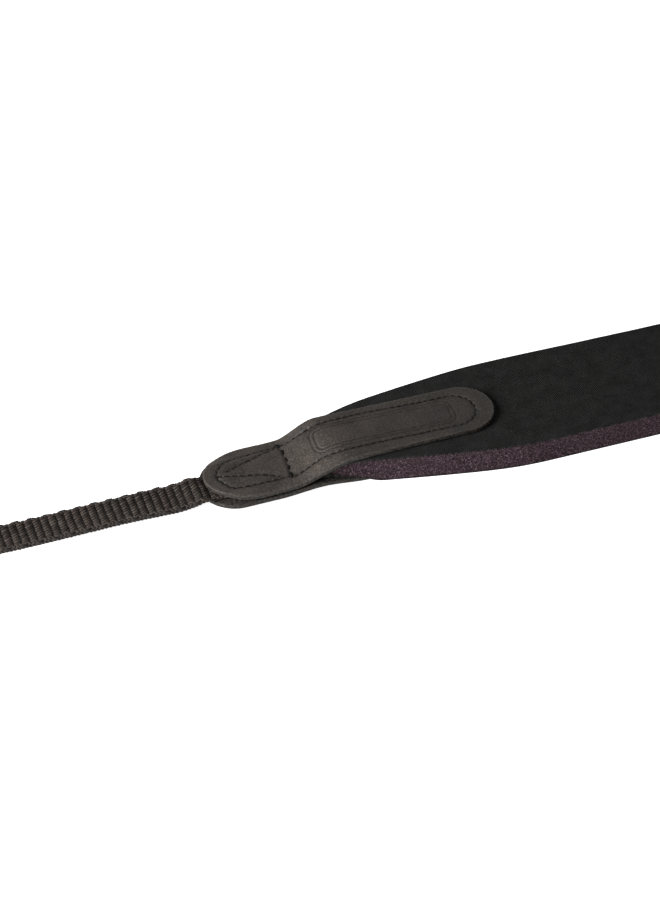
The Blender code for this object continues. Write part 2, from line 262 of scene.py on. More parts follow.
def back_height(reach):
    """The underside of the back tab."""
    return eased(TAB_BASES, reach)


def front_height(reach, y, strap):
    """The smooth top of the front tab: low over the webbing and crowned where that lies, then up onto the pad."""
    tabs = strap.tabs
    beside = smooth((np.abs(y - CROWN_Y) - CROWN_FLAT) / CROWN_FALL)
    seat = back_height(reach) + mix(tabs.crown, tabs.rim, beside)
    length = tabs.rise_length - RISE_SKEW * y / tabs.tip_radius
    on_pad = strap.pad.thickness + LAYER_GAP + tabs.front_leather
    return mix(seat, on_pad, smooth((reach - tabs.rise_start) / length))


def pad_side(reach, y):
    """Half the width of the pad on the side where y lies, with the corners of its table rounded off."""
    reaches = [section.reach for section in PAD_SECTIONS]
    widths = []
    for side in ("near", "far"):
        values = [getattr(section, side) for section in PAD_SECTIONS]
        widths.append(sum(np.interp(reach + shift, reaches, values) for shift in SECTION_BLEND) / len(SECTION_BLEND))
    return np.where(y > 0, widths[1], widths[0])


def fold_lines(side):
    """Where the underside's fold beside the back tab starts and ends, on a pad that is that wide."""
    inner = np.minimum(FOLD_SIDE, FOLD_INNER_SHARE * side)
    return inner, np.minimum(FOLD_SIDE + FOLD_WIDTH, FOLD_OUTER_SHARE * side)


def pad_top(reach, y, strap):
    return front_height(reach, y, strap) - strap.tabs.front_leather - LAYER_GAP


def pad_base(reach, y, strap):
    """The underside lies over the back tab, and hangs to the table where the pad is wider than the tab."""
    tabs = strap.tabs
    inner, outer = fold_lines(pad_side(reach, y))
    beside = smooth((reach - HANG_START) / HANG_LENGTH) * smooth((np.abs(y) - inner) / (outer - inner))
    past = smooth((reach - tabs.length - LAYER_GAP) / FOLD_END_WIDTH)
    return (back_height(reach) + tabs.back_leather + LAYER_GAP) * (1 - beside) * (1 - past)


def cloth_thickness(reach, y, strap):
    """The cloth is bunched up where the tabs pinch the pad's end, and thin from there on."""
    height = pad_top(reach, y, strap) - pad_base(reach, y, strap)
    thin = np.minimum(strap.pad.cloth, CLOTH_PRESSED_SHARE * height)
    return mix(CLOTH_MET_SHARE * height, thin, smooth((reach - CLOTH_PARTING) / CLOTH_PARTING_LENGTH))


# ---- Meshes ----
MERGE = 0.0001 * MM


def ring_faces(count, around):
    """Faces between rings of points, each of that many points, one ring after another."""
    index = np.arange(count * around).reshape(count, around)
    here, there = index[:-1], index[1:]
    quads = np.stack([here, np.roll(here, -1, 1), np.roll(there, -1, 1), there], -1)
    return quads.reshape(-1, 4).tolist()


def closed_mesh(rings, capped, attributes=()):
    """A smooth closed mesh through rings of points, an array of rings by points by 3. attributes are pairs of a
    name and a number for each point. Without caps, the first and last rings are folded flat along a line."""
    count, around = rings.shape[:2]
    faces = ring_faces(count, around)
    if capped:
        faces += [list(range(around))[::-1], list(range((count - 1) * around, count * around))]
    mesh = bpy.data.meshes.new("shell")
    mesh.from_pydata(rings.reshape(-1, 3).tolist(), [], faces)
    for key, values in attributes:
        mesh.attributes.new(key, "FLOAT", "POINT").data.foreach_set("value", values.ravel().astype(np.float32))
    tidy_shell(mesh)
    return mesh


def tidy_shell(mesh):
    """Closes seams and poles and turns every face outwards."""
    shell = bmesh.new()
    shell.from_mesh(mesh)
    bmesh.ops.remove_doubles(shell, verts=shell.verts, dist=MERGE)
    bmesh.ops.recalc_face_normals(shell, faces=shell.faces)
    shell.to_mesh(mesh)
    shell.free()
    mesh.shade_smooth()


def add_object(name, data):
    made = bpy.data.objects.new(name, data)
    bpy.context.scene.collection.objects.link(made)
    return made


def add_piece(name, mesh, material, nodes=()):
    """A piece that rides on the strap's only body, with its finish and the CAD nodes that it stands for."""
    mesh.name = name
    mesh.materials.clear()
    mesh.materials.append(material)
    piece = add_object(name, mesh)
    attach(piece, "root")
    if nodes:
        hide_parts(*nodes)
    return piece


def add_at_both_ends(name, mesh, material, replaced=True):
    """A piece at the left end from a mesh given by reach, and its mirror image at the right end."""
    mesh.transform(Matrix.Translation((-TIP_AT, 0, 0)))
    mirrored = mesh.copy()
    mirrored.transform(Matrix.Scale(-1, 4, (1, 0, 0)))
    mirrored.flip_normals()
    for side, at_side in (("left", mesh), ("right", mirrored)):
        node = f"{name}_{side}"
        add_piece(f"{node}_dressed", at_side, material, (node,) if replaced else ())


# ---- Node trees ----
class NodeTree:
    """A node tree with short ways to add nodes. Their inputs are values or other nodes' outputs."""

    def __init__(self, tree):
        self.tree = tree

    def add(self, kind, inputs=None, **settings):
        """A new node."""
        made = self.tree.nodes.new(kind)
        for key, value in settings.items():
            setattr(made, key, value)
        for key, value in (inputs or {}).items():
            if isinstance(value, bpy.types.NodeSocket):
                self.tree.links.new(value, made.inputs[key])
            else:
                made.inputs[key].default_value = value
        return made

    def first(self, kind, inputs=None, **settings):
        """The first output of a new node."""
        return self.add(kind, inputs, **settings).outputs[0]

    def maths(self, operation, *values):
        return self.first("ShaderNodeMath", dict(enumerate(values)), operation=operation)

    def times(self, value, factor):
        return self.maths("MULTIPLY", value, factor)

    def minus(self, value, less):
        return self.maths("SUBTRACT", value, less)

    def vector_maths(self, operation, *values):
        return self.first("ShaderNodeVectorMath", dict(enumerate(values)), operation=operation)

    def scaled(self, vector, factor):
        return self.first("ShaderNodeVectorMath", {0: vector, "Scale": factor}, operation="SCALE")

    def combine(self, x, y, z):
        return self.first("ShaderNodeCombineXYZ", {0: x, 1: y, 2: z})

    def separate(self, vector):
        return self.add("ShaderNodeSeparateXYZ", {0: vector}).outputs


# ---- Materials ----
# Noise by the size of its lumps and by how much finer noise lies on them.
Noise = namedtuple("Noise", "size detail roughness", defaults=(2.0, 0.5))
LEATHER_GRAIN = Noise(0.5 * MM, 3.0, 0.65)
LEATHER_MOTTLE = Noise(7 * MM, 5.0, 0.7)
LEATHER_FIBRES = Noise(0.8 * MM, 4.0, 0.75)
LEATHER_PEBBLE = 0.7 * MM
KNIT_BLOOM = Noise(4 * MM, 5.0, 0.65)
KNIT_BLOOM_SHARE = 0.25
KNIT_FUZZ = Noise(0.35 * MM)
KNIT_PITCH = 0.80 * MM
KNIT_TURN = math.radians(38)
FOAM_WARP = Noise(1.1 * MM)
FOAM_WARP_REACH = 0.5 * MM
FOAM_PATCHES = Noise(0.9 * MM, 4.0, 0.7)
FOAM_FLECKS = Noise(0.45 * MM, 1.0, 0.5)
FOAM_CELL_RATIO = 2.1
THREAD_STRANDS = Noise(0.12 * MM)
YARN_FIBRES = Noise(0.16 * MM, 3.0, 0.6)
YARN_BATCH = Noise(5 * MM, 3.0, 0.6)
YARN_BATCH_SHARE = 0.45
SLIDER_SPARK = Noise(0.25 * MM)
SLIDER_SCUFFS = Noise(2.5 * MM, 4.0, 0.7)
FLOOR_PAPER = Noise(0.4 * MM)


class Finish(NodeTree):
    """A material, its shader and its Object coordinates."""

    def __init__(self, name, roughness, specular):
        self.material = bpy.data.materials.new(name)
        self.material.use_nodes = True
        super().__init__(self.material.node_tree)
        self.shader = self.tree.nodes["Principled BSDF"].inputs
        self.shader["Roughness"].default_value = roughness
        self.shader["Specular IOR Level"].default_value = specular
        self.place = self.tree.nodes.new("ShaderNodeTexCoord").outputs["Object"]

    def noise(self, kind, output="Fac"):
        inputs = {"Vector": self.place, "Scale": 1 / kind.size, "Detail": kind.detail, "Roughness": kind.roughness}
        return self.add("ShaderNodeTexNoise", inputs).outputs[output]

    def cells(self, place, size):
        return self.add("ShaderNodeTexVoronoi", {"Vector": place, "Scale": 1 / size}).outputs["Distance"]

    def spread(self, value, low, high, to_low=0.0, to_high=1.0):
        """The value, taken from between low and high to between to_low and to_high."""
        inputs = {"Value": value, "From Min": low, "From Max": high, "To Min": to_low, "To Max": to_high}
        return self.add("ShaderNodeMapRange", inputs).outputs["Result"]

    def blend(self, share, low, high):
        """Sockets 6 and 7 are the mix node's two colours, and its output 2 is the colour."""
        low, high = (c if isinstance(c, bpy.types.NodeSocket) else (*c, 1) for c in (low, high))
        return self.add("ShaderNodeMix", {0: share, 6: low, 7: high}, data_type="RGBA").outputs[2]

    def attribute(self, name):
        return self.add("ShaderNodeAttribute", attribute_name=name).outputs["Fac"]

    def done(self, colour, bumps, roughness=None):
        """The material, with that colour, and bumps as pairs of a height and its depth."""
        inputs = {}
        for height, depth in bumps:
            inputs.update({"Height": height, "Distance": depth})
            inputs["Normal"] = self.add("ShaderNodeBump", inputs).outputs["Normal"]
        self.tree.links.new(colour, self.shader["Base Color"])
        self.tree.links.new(inputs["Normal"], self.shader["Normal"])
        if roughness is not None:
            self.tree.links.new(roughness, self.shader["Roughness"])
        return self.material


def tint(colour, *factors):
    """The colour, brighter or darker by one factor, or by one for each of its three parts."""
    return [part * factor for part, factor in zip(colour, factors * (3 // len(factors)))]


def leather_material(tabs):
    """Dyed leather: a fine pebbled grain, mottled colour and a dark fibrous cut edge, with a painted highlight on the
    rim, the rise and the tip, and painted shade along the stitching, in the needle holes and pressed lines and
    towards the tab's end."""
    leather, dye = Finish("leather", roughness=0.5, specular=0.4), tabs.leather_colour
    pebbles = leather.cells(leather.place, LEATHER_PEBBLE)
    grain = leather.noise(LEATHER_GRAIN)
    mottle = leather.spread(leather.noise(LEATHER_MOTTLE), 0.34, 0.66)
    cut, painted_highlight, painted_shade = [leather.attribute(name) for name in ("cut_edge", "painted_highlight", "painted_shade")]
    face = leather.blend(mottle, tint(dye, 0.62, 0.65, 0.70), tint(dye, 1.35))
    # Painted highlight on the rim, the rise and the tip, broken up by the grain.
    face = leather.blend(leather.times(painted_highlight, leather.spread(grain, 0.3, 0.7)), face, tint(dye, 3.0))
    face = leather.blend(leather.spread(grain, 0.32, 0.55, 0.7, 0.0), face, tabs.edge_colour)
    face = leather.blend(leather.spread(grain, 0.52, 0.7, 0.0, 0.5), face, tint(dye, 2.6))
    # Painted shade along the stitching, in the needle holes and pressed lines, and towards the tab's end.
    face = leather.blend(painted_shade, face, tabs.thread_colour)
    strands = leather.spread(leather.noise(LEATHER_FIBRES), 0.42, 0.62)
    fibres = leather.blend(strands, tint(tabs.edge_colour, 0.35), tint(dye, 1.25))
    roughness = leather.maths("MAXIMUM", leather.spread(mottle, 0, 1, 0.44, 0.6), leather.times(cut, 0.9))
    return leather.done(leather.blend(cut, face, fibres), ((pebbles, 0.06 * MM), (grain, 0.16 * MM)), roughness)


def knit_material(name, colour):
    """Close matt black knit: a fine slanting mesh and an uneven bloom."""
    cloth = Finish(name, roughness=1.0, specular=0.03)
    turned = cloth.first("ShaderNodeMapping", {"Vector": cloth.place, "Rotation": (0, 0, KNIT_TURN)})
    waves = [cloth.maths("SINE", cloth.times(part, 2 * math.pi / KNIT_PITCH)) for part in cloth.separate(turned)[:2]]
    knit = cloth.spread(cloth.times(*waves), -1, 1)
    bloom = cloth.spread(cloth.noise(KNIT_BLOOM), 0.3, 0.7)
    share = cloth.maths("ADD", cloth.times(knit, 1 - KNIT_BLOOM_SHARE), cloth.times(bloom, KNIT_BLOOM_SHARE))
    bumps = (knit, 0.18 * MM), (cloth.noise(KNIT_FUZZ), 0.14 * MM)
    return cloth.done(cloth.blend(share, tint(colour, 0.02), tint(colour, 2.7)), bumps)


def foam_material(pad):
    """Cut foam: open cells of uneven size with paler walls, and painted shade inside the cells."""
    foam = Finish("foam", roughness=0.95, specular=0.1)
    warp = foam.scaled(foam.noise(FOAM_WARP, "Color"), FOAM_WARP_REACH)
    shifted = foam.vector_maths("ADD", foam.place, warp)
    large = foam.spread(foam.cells(shifted, pad.cell), 0.18, 0.6)
    small = foam.spread(foam.cells(shifted, pad.cell / FOAM_CELL_RATIO), 0.15, 0.6)
    patches = foam.spread(foam.noise(FOAM_PATCHES), 0.34, 0.66)
    flecks = foam.spread(foam.noise(FOAM_FLECKS), 0.62, 0.74, 0, 0.8)
    walls = foam.blend(patches, tint(pad.foam_colour, 0.45), tint(pad.foam_colour, 2.0))
    # Painted shade: the cells' insides take the pore shade colour.
    colour = foam.blend(foam.times(large, foam.spread(small, 0, 1, 0.35, 1)), pad.pore_shade_colour, walls)
    colour = foam.blend(flecks, colour, tint(pad.foam_colour, 3.6, 4.2, 4.2))
    return foam.done(colour, ((large, 0.25 * MM), (small, 0.1 * MM)))


def thread_material(tabs):
    """Black twisted thread."""
    thread = Finish("thread", roughness=0.75, specular=0.1)
    strands = thread.noise(THREAD_STRANDS)
    colour = thread.blend(strands, tabs.thread_colour, tint(tabs.thread_colour, 2.2))
    return thread.done(colour, ((strands, 0.04 * MM),))


def webbing_material(webbing):
    """Yarns of fine fibres, some dull and some bright, with painted shade between them and a few redder patches."""
    web, dye = Finish("webbing", roughness=0.65, specular=0.25), webbing.yarn_colour
    fibres = web.noise(YARN_FIBRES)
    batch = web.times(web.spread(web.noise(YARN_BATCH), 0.35, 0.65), YARN_BATCH_SHARE)
    colour = web.blend(web.attribute("yarn_tone"), tint(dye, 0.35), tint(dye, 1.5))
    colour = web.blend(batch, colour, tint(dye, 1.1, 0.8, 0.8))
    # Fine dark streaks along the fibres.
    colour = web.blend(web.spread(fibres, 0.35, 0.65, 0.5, 0), colour, webbing.fibre_and_gap_shade_colour)
    # Painted shade: the core and the darker edge yarns take the gap shade colour.
    colour = web.blend(web.attribute("gap"), colour, webbing.fibre_and_gap_shade_colour)
    return web.done(colour, ((fibres, 0.08 * MM),))


def slider_material(webbing):
    """Moulded plastic with a fine spark texture and faint scuffs."""
    plastic = Finish("slider_plastic", roughness=0.4, specular=0.5)
    scuffs = plastic.spread(plastic.noise(SLIDER_SCUFFS), 0.42, 0.66)
    colour = plastic.blend(scuffs, webbing.slider_colour, tint(webbing.slider_colour, 2.6))
    bumps = ((plastic.noise(SLIDER_SPARK), 0.02 * MM),)
    return plastic.done(colour, bumps, plastic.spread(scuffs, 0, 1, 0.34, 0.55))


# ---- The pad ----
CLOTH_START = 33.0 * MM
CLOTH_STEP = 1.6 * MM
CLOTH_COLUMNS = 71
CLOTH_EDGE_ROUND = 0.22 * MM
CLOTH_WALL_ROWS = 2
FOAM_START = 35.5 * MM
FOAM_STEP = 0.36 * MM
FOAM_WALL_ROWS = 15

# Waves of the cloth and pits in the foam's cut side: pairs of a size and a depth. Both are sunk by that share of
# their depth.
CLOTH_WAVES = ((14 * MM, 0.10 * MM), (3.5 * MM, 0.035 * MM))
CLOTH_WAVES_SINK = 0.5
CLOTH_WAVES_START = 8 * MM
CLOTH_WAVES_SEED = 3
FOAM_PITS = ((0.75 * MM, 0.13 * MM), (0.4 * MM, 0.07 * MM))
FOAM_PITS_SINK = 0.3
FOAM_PITS_SEED = 11
FOAM_SCALLOP = 0.12 * MM


def pad_rings(start, step, columns_at, base, top, wall_rows):
    """Rings of points round the pad's cross-sections, from its left end to its right end: along the top from -Y to
    +Y, down the wall, back along the underside, and up the other wall."""
    reaches = np.linspace(start, TIP_AT, math.ceil((TIP_AT - start) / step) + 1)
    x = np.concatenate([reaches - TIP_AT, (TIP_AT - reaches)[-2::-1]])[:, None]
    reach = TIP_AT - np.abs(x)
    y = columns_at(reach)
    high, low = top(reach, y), base(reach, y)
    levels = np.linspace(1, 0, wall_rows + 2)[1:-1]
    far_wall = mix(low[:, -1:], high[:, -1:], levels)
    near_wall = mix(low[:, :1], high[:, :1], levels[::-1])
    z = np.concatenate([high, far_wall, low[:, ::-1], near_wall], 1)
    walls = np.ones((1, wall_rows))
    y = np.concatenate([y, y[:, -1:] * walls, y[:, ::-1], y[:, :1] * walls], 1)
    return np.stack([x * np.ones_like(y), y, z], -1)


def corner(inset, radius):
    """How far a rounded edge falls below the face, for a point that lies that far inside it."""
    left = np.clip(radius - inset, 0, radius)
    return radius - np.sqrt(radius**2 - left**2)


def build_pad(strap):
    pad = strap.pad
    shares = np.sin(np.linspace(-math.pi / 2, math.pi / 2, CLOTH_COLUMNS))

    def cloth_columns(reach):
        return shares * pad_side(reach, shares)

    def foam_columns(reach):
        near, far = pad_side(reach, -1), pad_side(reach, 1)
        near_inner, near_outer = fold_lines(near)
        far_inner, far_outer = fold_lines(far)
        return np.concatenate([-near, -near_outer, -near_inner, 0 * near, far_inner, far_outer, far], 1)

    def rounding(reach, y):
        return corner(pad_side(reach, y) - np.abs(y), CLOTH_EDGE_ROUND)

    def under_face(reach, y):
        return pad_top(reach, y, strap) - cloth_thickness(reach, y, strap)

    def over_back(reach, y):
        return pad_base(reach, y, strap) + cloth_thickness(reach, y, strap)

    def face_top(reach, y):
        return pad_top(reach, y, strap) - rounding(reach, y)

    def back_base(reach, y):
        return pad_base(reach, y, strap) + rounding(reach, y)

    face = pad_rings(CLOTH_START, CLOTH_STEP, cloth_columns, under_face, face_top, CLOTH_WALL_ROWS)
    back = pad_rings(CLOTH_START, CLOTH_STEP, cloth_columns, back_base, over_back, CLOTH_WALL_ROWS)
    clear = smooth((TIP_AT - np.abs(face[..., 0]) - strap.tabs.length) / CLOTH_WAVES_START)
    for size, depth in CLOTH_WAVES:
        waves = lumps(face * (1, 1, 0), size, CLOTH_WAVES_SEED)
        face[..., 2] += depth * clear * (waves - CLOTH_WAVES_SINK)
    for side, rings in (("face", face), ("back", back)):
        knit = knit_material(f"{side}_knit", pad.cloth_colour)
        add_piece(f"pad_{side}_cloth_dressed", closed_mesh(rings, True), knit,
                  (f"pad_{side}_cloth",))

    foam = pad_rings(FOAM_START, FOAM_STEP, foam_columns, over_back, under_face, FOAM_WALL_ROWS)
    count = (foam.shape[1] - 2 * FOAM_WALL_ROWS) // 2
    level = np.sin(np.linspace(0, math.pi, FOAM_WALL_ROWS + 2)[1:-1])
    for first, out in ((count, 1), (2 * count + FOAM_WALL_ROWS, -1)):
        wall = foam[:, first : first + FOAM_WALL_ROWS]
        pits = [depth * (lumps(wall, size, FOAM_PITS_SEED) + FOAM_PITS_SINK) for size, depth in FOAM_PITS]
        wall[..., 1] -= out * (FOAM_SCALLOP * level + sum(pits))
    piece = add_piece("pad_foam_dressed", closed_mesh(foam, True), foam_material(pad), ("pad_foam",))


# ---- Rows of stitching, as paths of (reach, y) on a tab ----
STITCH_ARC_STEP = 8

# pitch and thread are shares of the common ones, gap a share of the row's own pitch.
StitchRow = namedtuple("StitchRow", "points pitch gap thread")


def stitch_rows():
    """The round row over the webbing, both legs of the V inside it, the row across, and the long row over the pad."""
    tip_row = [(23.7, 7.2), (17.7, 7.0), (14.4, 6.5), (10.2, 6.0), (8.0, 5.5), (6.5, 4.7), (5.2, 3.2), (4.2, 1.5),
               (3.8, -0.2), (4.5, -1.9), (5.6, -3.7), (6.6, -5.2), (7.9, -6.0), (10.6, -6.3), (16.0, -6.4),
               (23.7, -6.4)]
    far_leg = [(23.2, 6.4), (18.8, 5.3), (14.7, 4.0), (10.4, 2.6), (7.4, 1.5)]
    near_leg = [(4.4, 0.3), (7.4, -0.5), (10.3, -1.3), (14.0, -2.3), (16.6, -2.8), (19.2, -4.0), (21.2, -5.4)]
    cross_row = [(24.6, 7.3), (25.1, 3.7), (25.1, 0.5), (24.8, -2.9), (24.4, -6.3)]
    pad_row = [(25.6, 7.0), (31.0, 7.2), (36.0, 7.2), (41.0, 7.6), (49.0, 7.8), (60.0, 7.2), (68.0, 6.8),
               *arc_points((76.8, 0.1), 6.6, 90, -90, STITCH_ARC_STEP), (68.0, -6.3), (58.0, -6.0), (50.0, -5.8),
               (42.0, -5.8), (37.5, -5.4), (34.5, -5.1), (31.5, -5.7), (28.6, -6.4), (25.6, -7.1)]
    rows = [StitchRow(points, pitch=0.92, gap=0.2, thread=0.9) for points in (tip_row, far_leg, near_leg, pad_row)]
    rows.append(StitchRow(cross_row, pitch=1.42, gap=0.42, thread=2.8))
    return [row._replace(points=np.array(row.points) * MM) for row in rows]


def dense_path(row, step):
    """The row with points that far apart, as arrays of reach and y."""
    along = np.concatenate([[0], np.cumsum(np.hypot(*np.diff(row, axis=0).T))])
    places = np.linspace(0, along[-1], max(2, math.ceil(along[-1] / step)))
    return np.interp(places, along, row[:, 0]), np.interp(places, along, row[:, 1])


def needle_holes(row, height, tabs):
    """The places between the stitches of a row that lies on a surface of that height."""
    reach, y = dense_path(row.points, PATH_STEP)
    steps = np.sqrt(np.diff(reach) ** 2 + np.diff(y) ** 2 + np.diff(height(reach, y)) ** 2)
    along = np.concatenate([[0], np.cumsum(steps)])
    count = max(int(along[-1] / (row.pitch * tabs.stitch_pitch)), 1)
    places = (np.arange(count) + 0.5) / count * along[-1]
    return np.interp(places, along, reach), np.interp(places, along, y)


# ---- The leather tabs ----
# Rings of points lie that far inside the outline, in millimetres, and past the last one that far apart.
RIM_INSETS = (0.0, 0.03, 0.08, 0.15, 0.24, 0.34, 0.46, 0.6)
FINE_STEP = 0.22
UNDER_STEP = 0.42
COARSE_STEP = 1.3

PATH_STEP = 0.4 * MM
OUTLINE_STEP = 0.3 * MM
WALL_LEVELS = (0.25, 0.5, 0.75)
RIM_ROUND = 0.32 * MM
BASE_ROUND = 0.25 * MM
WALL_FRAY_WIDTH = 0.6
CUT_EDGE_WIDTH = 0.12 * MM
CUT_EDGE_ON_TOP = 0.8

# Frayed edges and creases: pairs of a size and a depth.
EDGE_FRAY = ((0.9 * MM, 0.05 * MM), (0.35 * MM, 0.035 * MM))
EDGE_FRAY_SEED = 5
CREASES = ((9 * MM, 0.09 * MM), (2.2 * MM, 0.03 * MM), (0.8 * MM, 0.012 * MM))
CREASES_SEED = 17

GROOVE_DEPTH = 0.18 * MM
GROOVE_WIDTH = 0.5 * MM
HOLE_DEPTH = 0.22 * MM
HOLE_RADIUS = 0.36 * MM
HOLE_SPREAD = (0.5, 1.5)
HOLE_SEED = 29
# Painted shade in the stitching's grooves, in the needle holes and in the panel's pressed lines.
GROOVE_PAINTED_SHADE = 0.55
HOLE_PAINTED_SHADE = 1.0
LINE_PAINTED_SHADE = 0.6

# Painted highlight on the rise, the rim and the tip, and painted shade that deepens towards the tab's end.
RISE_HIGHLIGHT_AT = (32.0 * MM, -3.5 * MM)
RISE_HIGHLIGHT_ACROSS = 1.2
RISE_HIGHLIGHT_SIZE = 6.5 * MM
RISE_PAINTED_HIGHLIGHT = 0.75
RIM_PAINTED_HIGHLIGHT = 0.55
TIP_PAINTED_HIGHLIGHT = 0.15
TIP_PAINTED_HIGHLIGHT_LENGTH = 12.0 * MM
END_SHADE_START = 40.0 * MM
END_SHADE_LENGTH = 40.0 * MM
END_PAINTED_SHADE = 0.26
PILLOW_RISE = 0.13 * MM
PILLOW_REACH = 2.2 * MM
UNDER_GROOVE_DEPTH = 0.5 * MM
THREAD_SINK = 0.10 * MM

# The bare pressed panel: two outlines, one inside the other, a little askew on the tab.
Panel = namedtuple("Panel", "reach y half_length half_width radius turn line_gap line_width depth")
PANEL = Panel(reach=0.0551, y=0.0008, half_length=0.0218, half_width=0.0050, radius=0.0030,
              turn=math.radians(-1.8), line_gap=0.00120, line_width=0.00024, depth=0.00026)


def tab_rings(tabs, tip, base, top, base_step, top_step):
    """Rings of points round a tab: over its underside from its middle line outwards, up its edge, and back over
    its top. With them come how far inside the outline each point lies and its level, 0 below to 1 on top."""
    bend, end = tip.start + tip.length, tabs.length - tabs.end_radius
    straight = np.linspace(bend, end, round((end - bend) / OUTLINE_STEP))
    quarter = math.pi / 2
    end_arc = np.linspace(-quarter, quarter, round(math.pi * tabs.end_radius / OUTLINE_STEP))[1:-1]
    tip_arc = np.linspace(quarter, 3 * quarter, round(math.pi * tip.length / OUTLINE_STEP))[1:-1]
    middle = np.concatenate([straight, end + 0 * end_arc, straight[::-1], bend + 0 * tip_arc])
    angle = np.concatenate([-quarter + 0 * straight, end_arc, quarter + 0 * straight, tip_arc])
    half_length = np.where(middle > bend, tabs.end_radius, tip.length)
    side = tab_side(middle + half_length * np.cos(angle), tabs)

    def insets(step):
        inner = np.arange(RIM_INSETS[-1] + step, tabs.tip_radius / MM, step)
        return np.concatenate([RIM_INSETS, inner, [tabs.tip_radius / MM]]) * MM

    below, above = insets(base_step)[::-1], insets(top_step)
    inset = np.concatenate([below, 0 * np.array(WALL_LEVELS), above])[:, None] * side / tabs.tip_radius
    level = np.concatenate([0 * below, WALL_LEVELS, 1 + 0 * above])[:, None] * np.ones_like(inset)
    u = middle + (half_length - inset) * np.cos(angle)
    y = (side - inset) * np.sin(angle)
    high = top(u, y) - corner(inset, RIM_ROUND)
    low = base(u, y) + corner(inset, BASE_ROUND)
    rings = np.stack([u, y, mix(low, high, level)], -1)
    on_wall = ridge(inset, RIM_ROUND / 2) * ridge(level - 0.5, WALL_FRAY_WIDTH)
    fray = sum(depth * lumps(rings, size, EDGE_FRAY_SEED) for size, depth in EDGE_FRAY) * on_wall
    rings[..., 0] -= fray * np.cos(angle)
    rings[..., 1] -= fray * np.sin(angle)
    return rings, inset, level


def nearest_row(u, y):
    return np.minimum.reduce([distance_to_path(u, y, row.points) for row in stitch_rows()])


def in_holes(u, y, height, tabs):
    """How deep each point lies in a needle hole, from 0 to 1. The holes are of uneven size."""
    random = np.random.default_rng(HOLE_SEED)
    deepest = 0 * u
    for row in stitch_rows():
        for hole_u, hole_y in zip(*needle_holes(row, height, tabs)):
            radius = HOLE_RADIUS * random.uniform(*HOLE_SPREAD)
            deepest = np.maximum(deepest, ridge(np.hypot(u - hole_u, y - hole_y), radius))
    return deepest


def in_lines(u, y):
    """How deep each point lies in the pressed panel's outlines, from 0 to 1."""
    cos, sin = math.cos(PANEL.turn), math.sin(PANEL.turn)
    du, dy = u - PANEL.reach, y - PANEL.y
    outline = rounded_box_distance(cos * du + sin * dy, cos * dy - sin * du, (PANEL.half_length, PANEL.half_width),
                                   PANEL.radius)
    return sum(ridge(outline + line, PANEL.line_width) for line in (0, PANEL.line_gap))


def relief(u, y, height, tabs):
    """The leather's surface over its smooth shape: stitching pulled into grooves, soft pillows between the rows,
    the pressed panel's outlines, and slight creases."""
    nearest = nearest_row(u, y)
    rise = PILLOW_RISE * smooth(nearest / PILLOW_REACH) - GROOVE_DEPTH * ridge(nearest, GROOVE_WIDTH)
    rise -= HOLE_DEPTH * in_holes(u, y, height, tabs) + PANEL.depth * in_lines(u, y)
    place = np.stack([u, y, 0 * u], -1)
    return rise + sum(depth * lumps(place, size, CREASES_SEED) for size, depth in CREASES)


def build_tabs(strap):
    tabs = strap.tabs
    leather = leather_material(tabs)

    def smooth_top(u, y):
        return front_height(u, y, strap)

    def front_top(u, y):
        return smooth_top(u, y) + relief(u, y, smooth_top, tabs)

    def front_base(u, y):
        return smooth_top(u, y) - tabs.front_leather

    def back_base(u, y):
        return back_height(u) + UNDER_GROOVE_DEPTH * ridge(nearest_row(u, y), GROOVE_WIDTH)

    def back_top(u, y):
        return back_height(u) + tabs.back_leather

    for name, tip, base, top, base_step, top_step in (
        ("front_tab", FRONT_TIP, front_base, front_top, COARSE_STEP, FINE_STEP),
        ("back_tab", BACK_TIP, back_base, back_top, UNDER_STEP, COARSE_STEP),
    ):
        rings, inset, level = tab_rings(tabs, tip, base, top, base_step, top_step)
        u, y = rings[..., 0], rings[..., 1]
        on_top = level == 1
        cut_edge = ridge(inset, CUT_EDGE_WIDTH) * mix(1, CUT_EDGE_ON_TOP, on_top)
        if name == "back_tab":
            cut_edge = np.maximum(cut_edge, on_top)
        # Painted highlight along the rounded rim, on the rise and towards the tip.
        painted_highlight = RIM_PAINTED_HIGHLIGHT * ridge(inset - RIM_ROUND, RIM_ROUND) * on_top
        rise_highlight = ridge(np.hypot(u - RISE_HIGHLIGHT_AT[0], (y - RISE_HIGHLIGHT_AT[1]) / RISE_HIGHLIGHT_ACROSS), RISE_HIGHLIGHT_SIZE)
        painted_highlight = np.maximum.reduce([painted_highlight, RISE_PAINTED_HIGHLIGHT * rise_highlight, TIP_PAINTED_HIGHLIGHT * (1 - smooth(u / TIP_PAINTED_HIGHLIGHT_LENGTH))])
        # Painted shade in the grooves, needle holes and pressed lines, deepening towards the tab's end over the pad.
        painted_shade = np.maximum.reduce([
            GROOVE_PAINTED_SHADE * ridge(nearest_row(u, y), GROOVE_WIDTH), HOLE_PAINTED_SHADE * in_holes(u, y, smooth_top, tabs),
            LINE_PAINTED_SHADE * in_lines(u, y) * on_top, END_PAINTED_SHADE * smooth((u - END_SHADE_START) / END_SHADE_LENGTH),
        ])
        mesh = closed_mesh(rings, False, (("cut_edge", cut_edge), ("painted_highlight", painted_highlight), ("painted_shade", painted_shade)))
        add_at_both_ends(name, mesh, leather)


# ---- Geometry node trees ----
SOCKETS = {"geometry": "NodeSocketGeometry", "size": "NodeSocketFloat", "count": "NodeSocketInt",
           "material": "NodeSocketMaterial"}


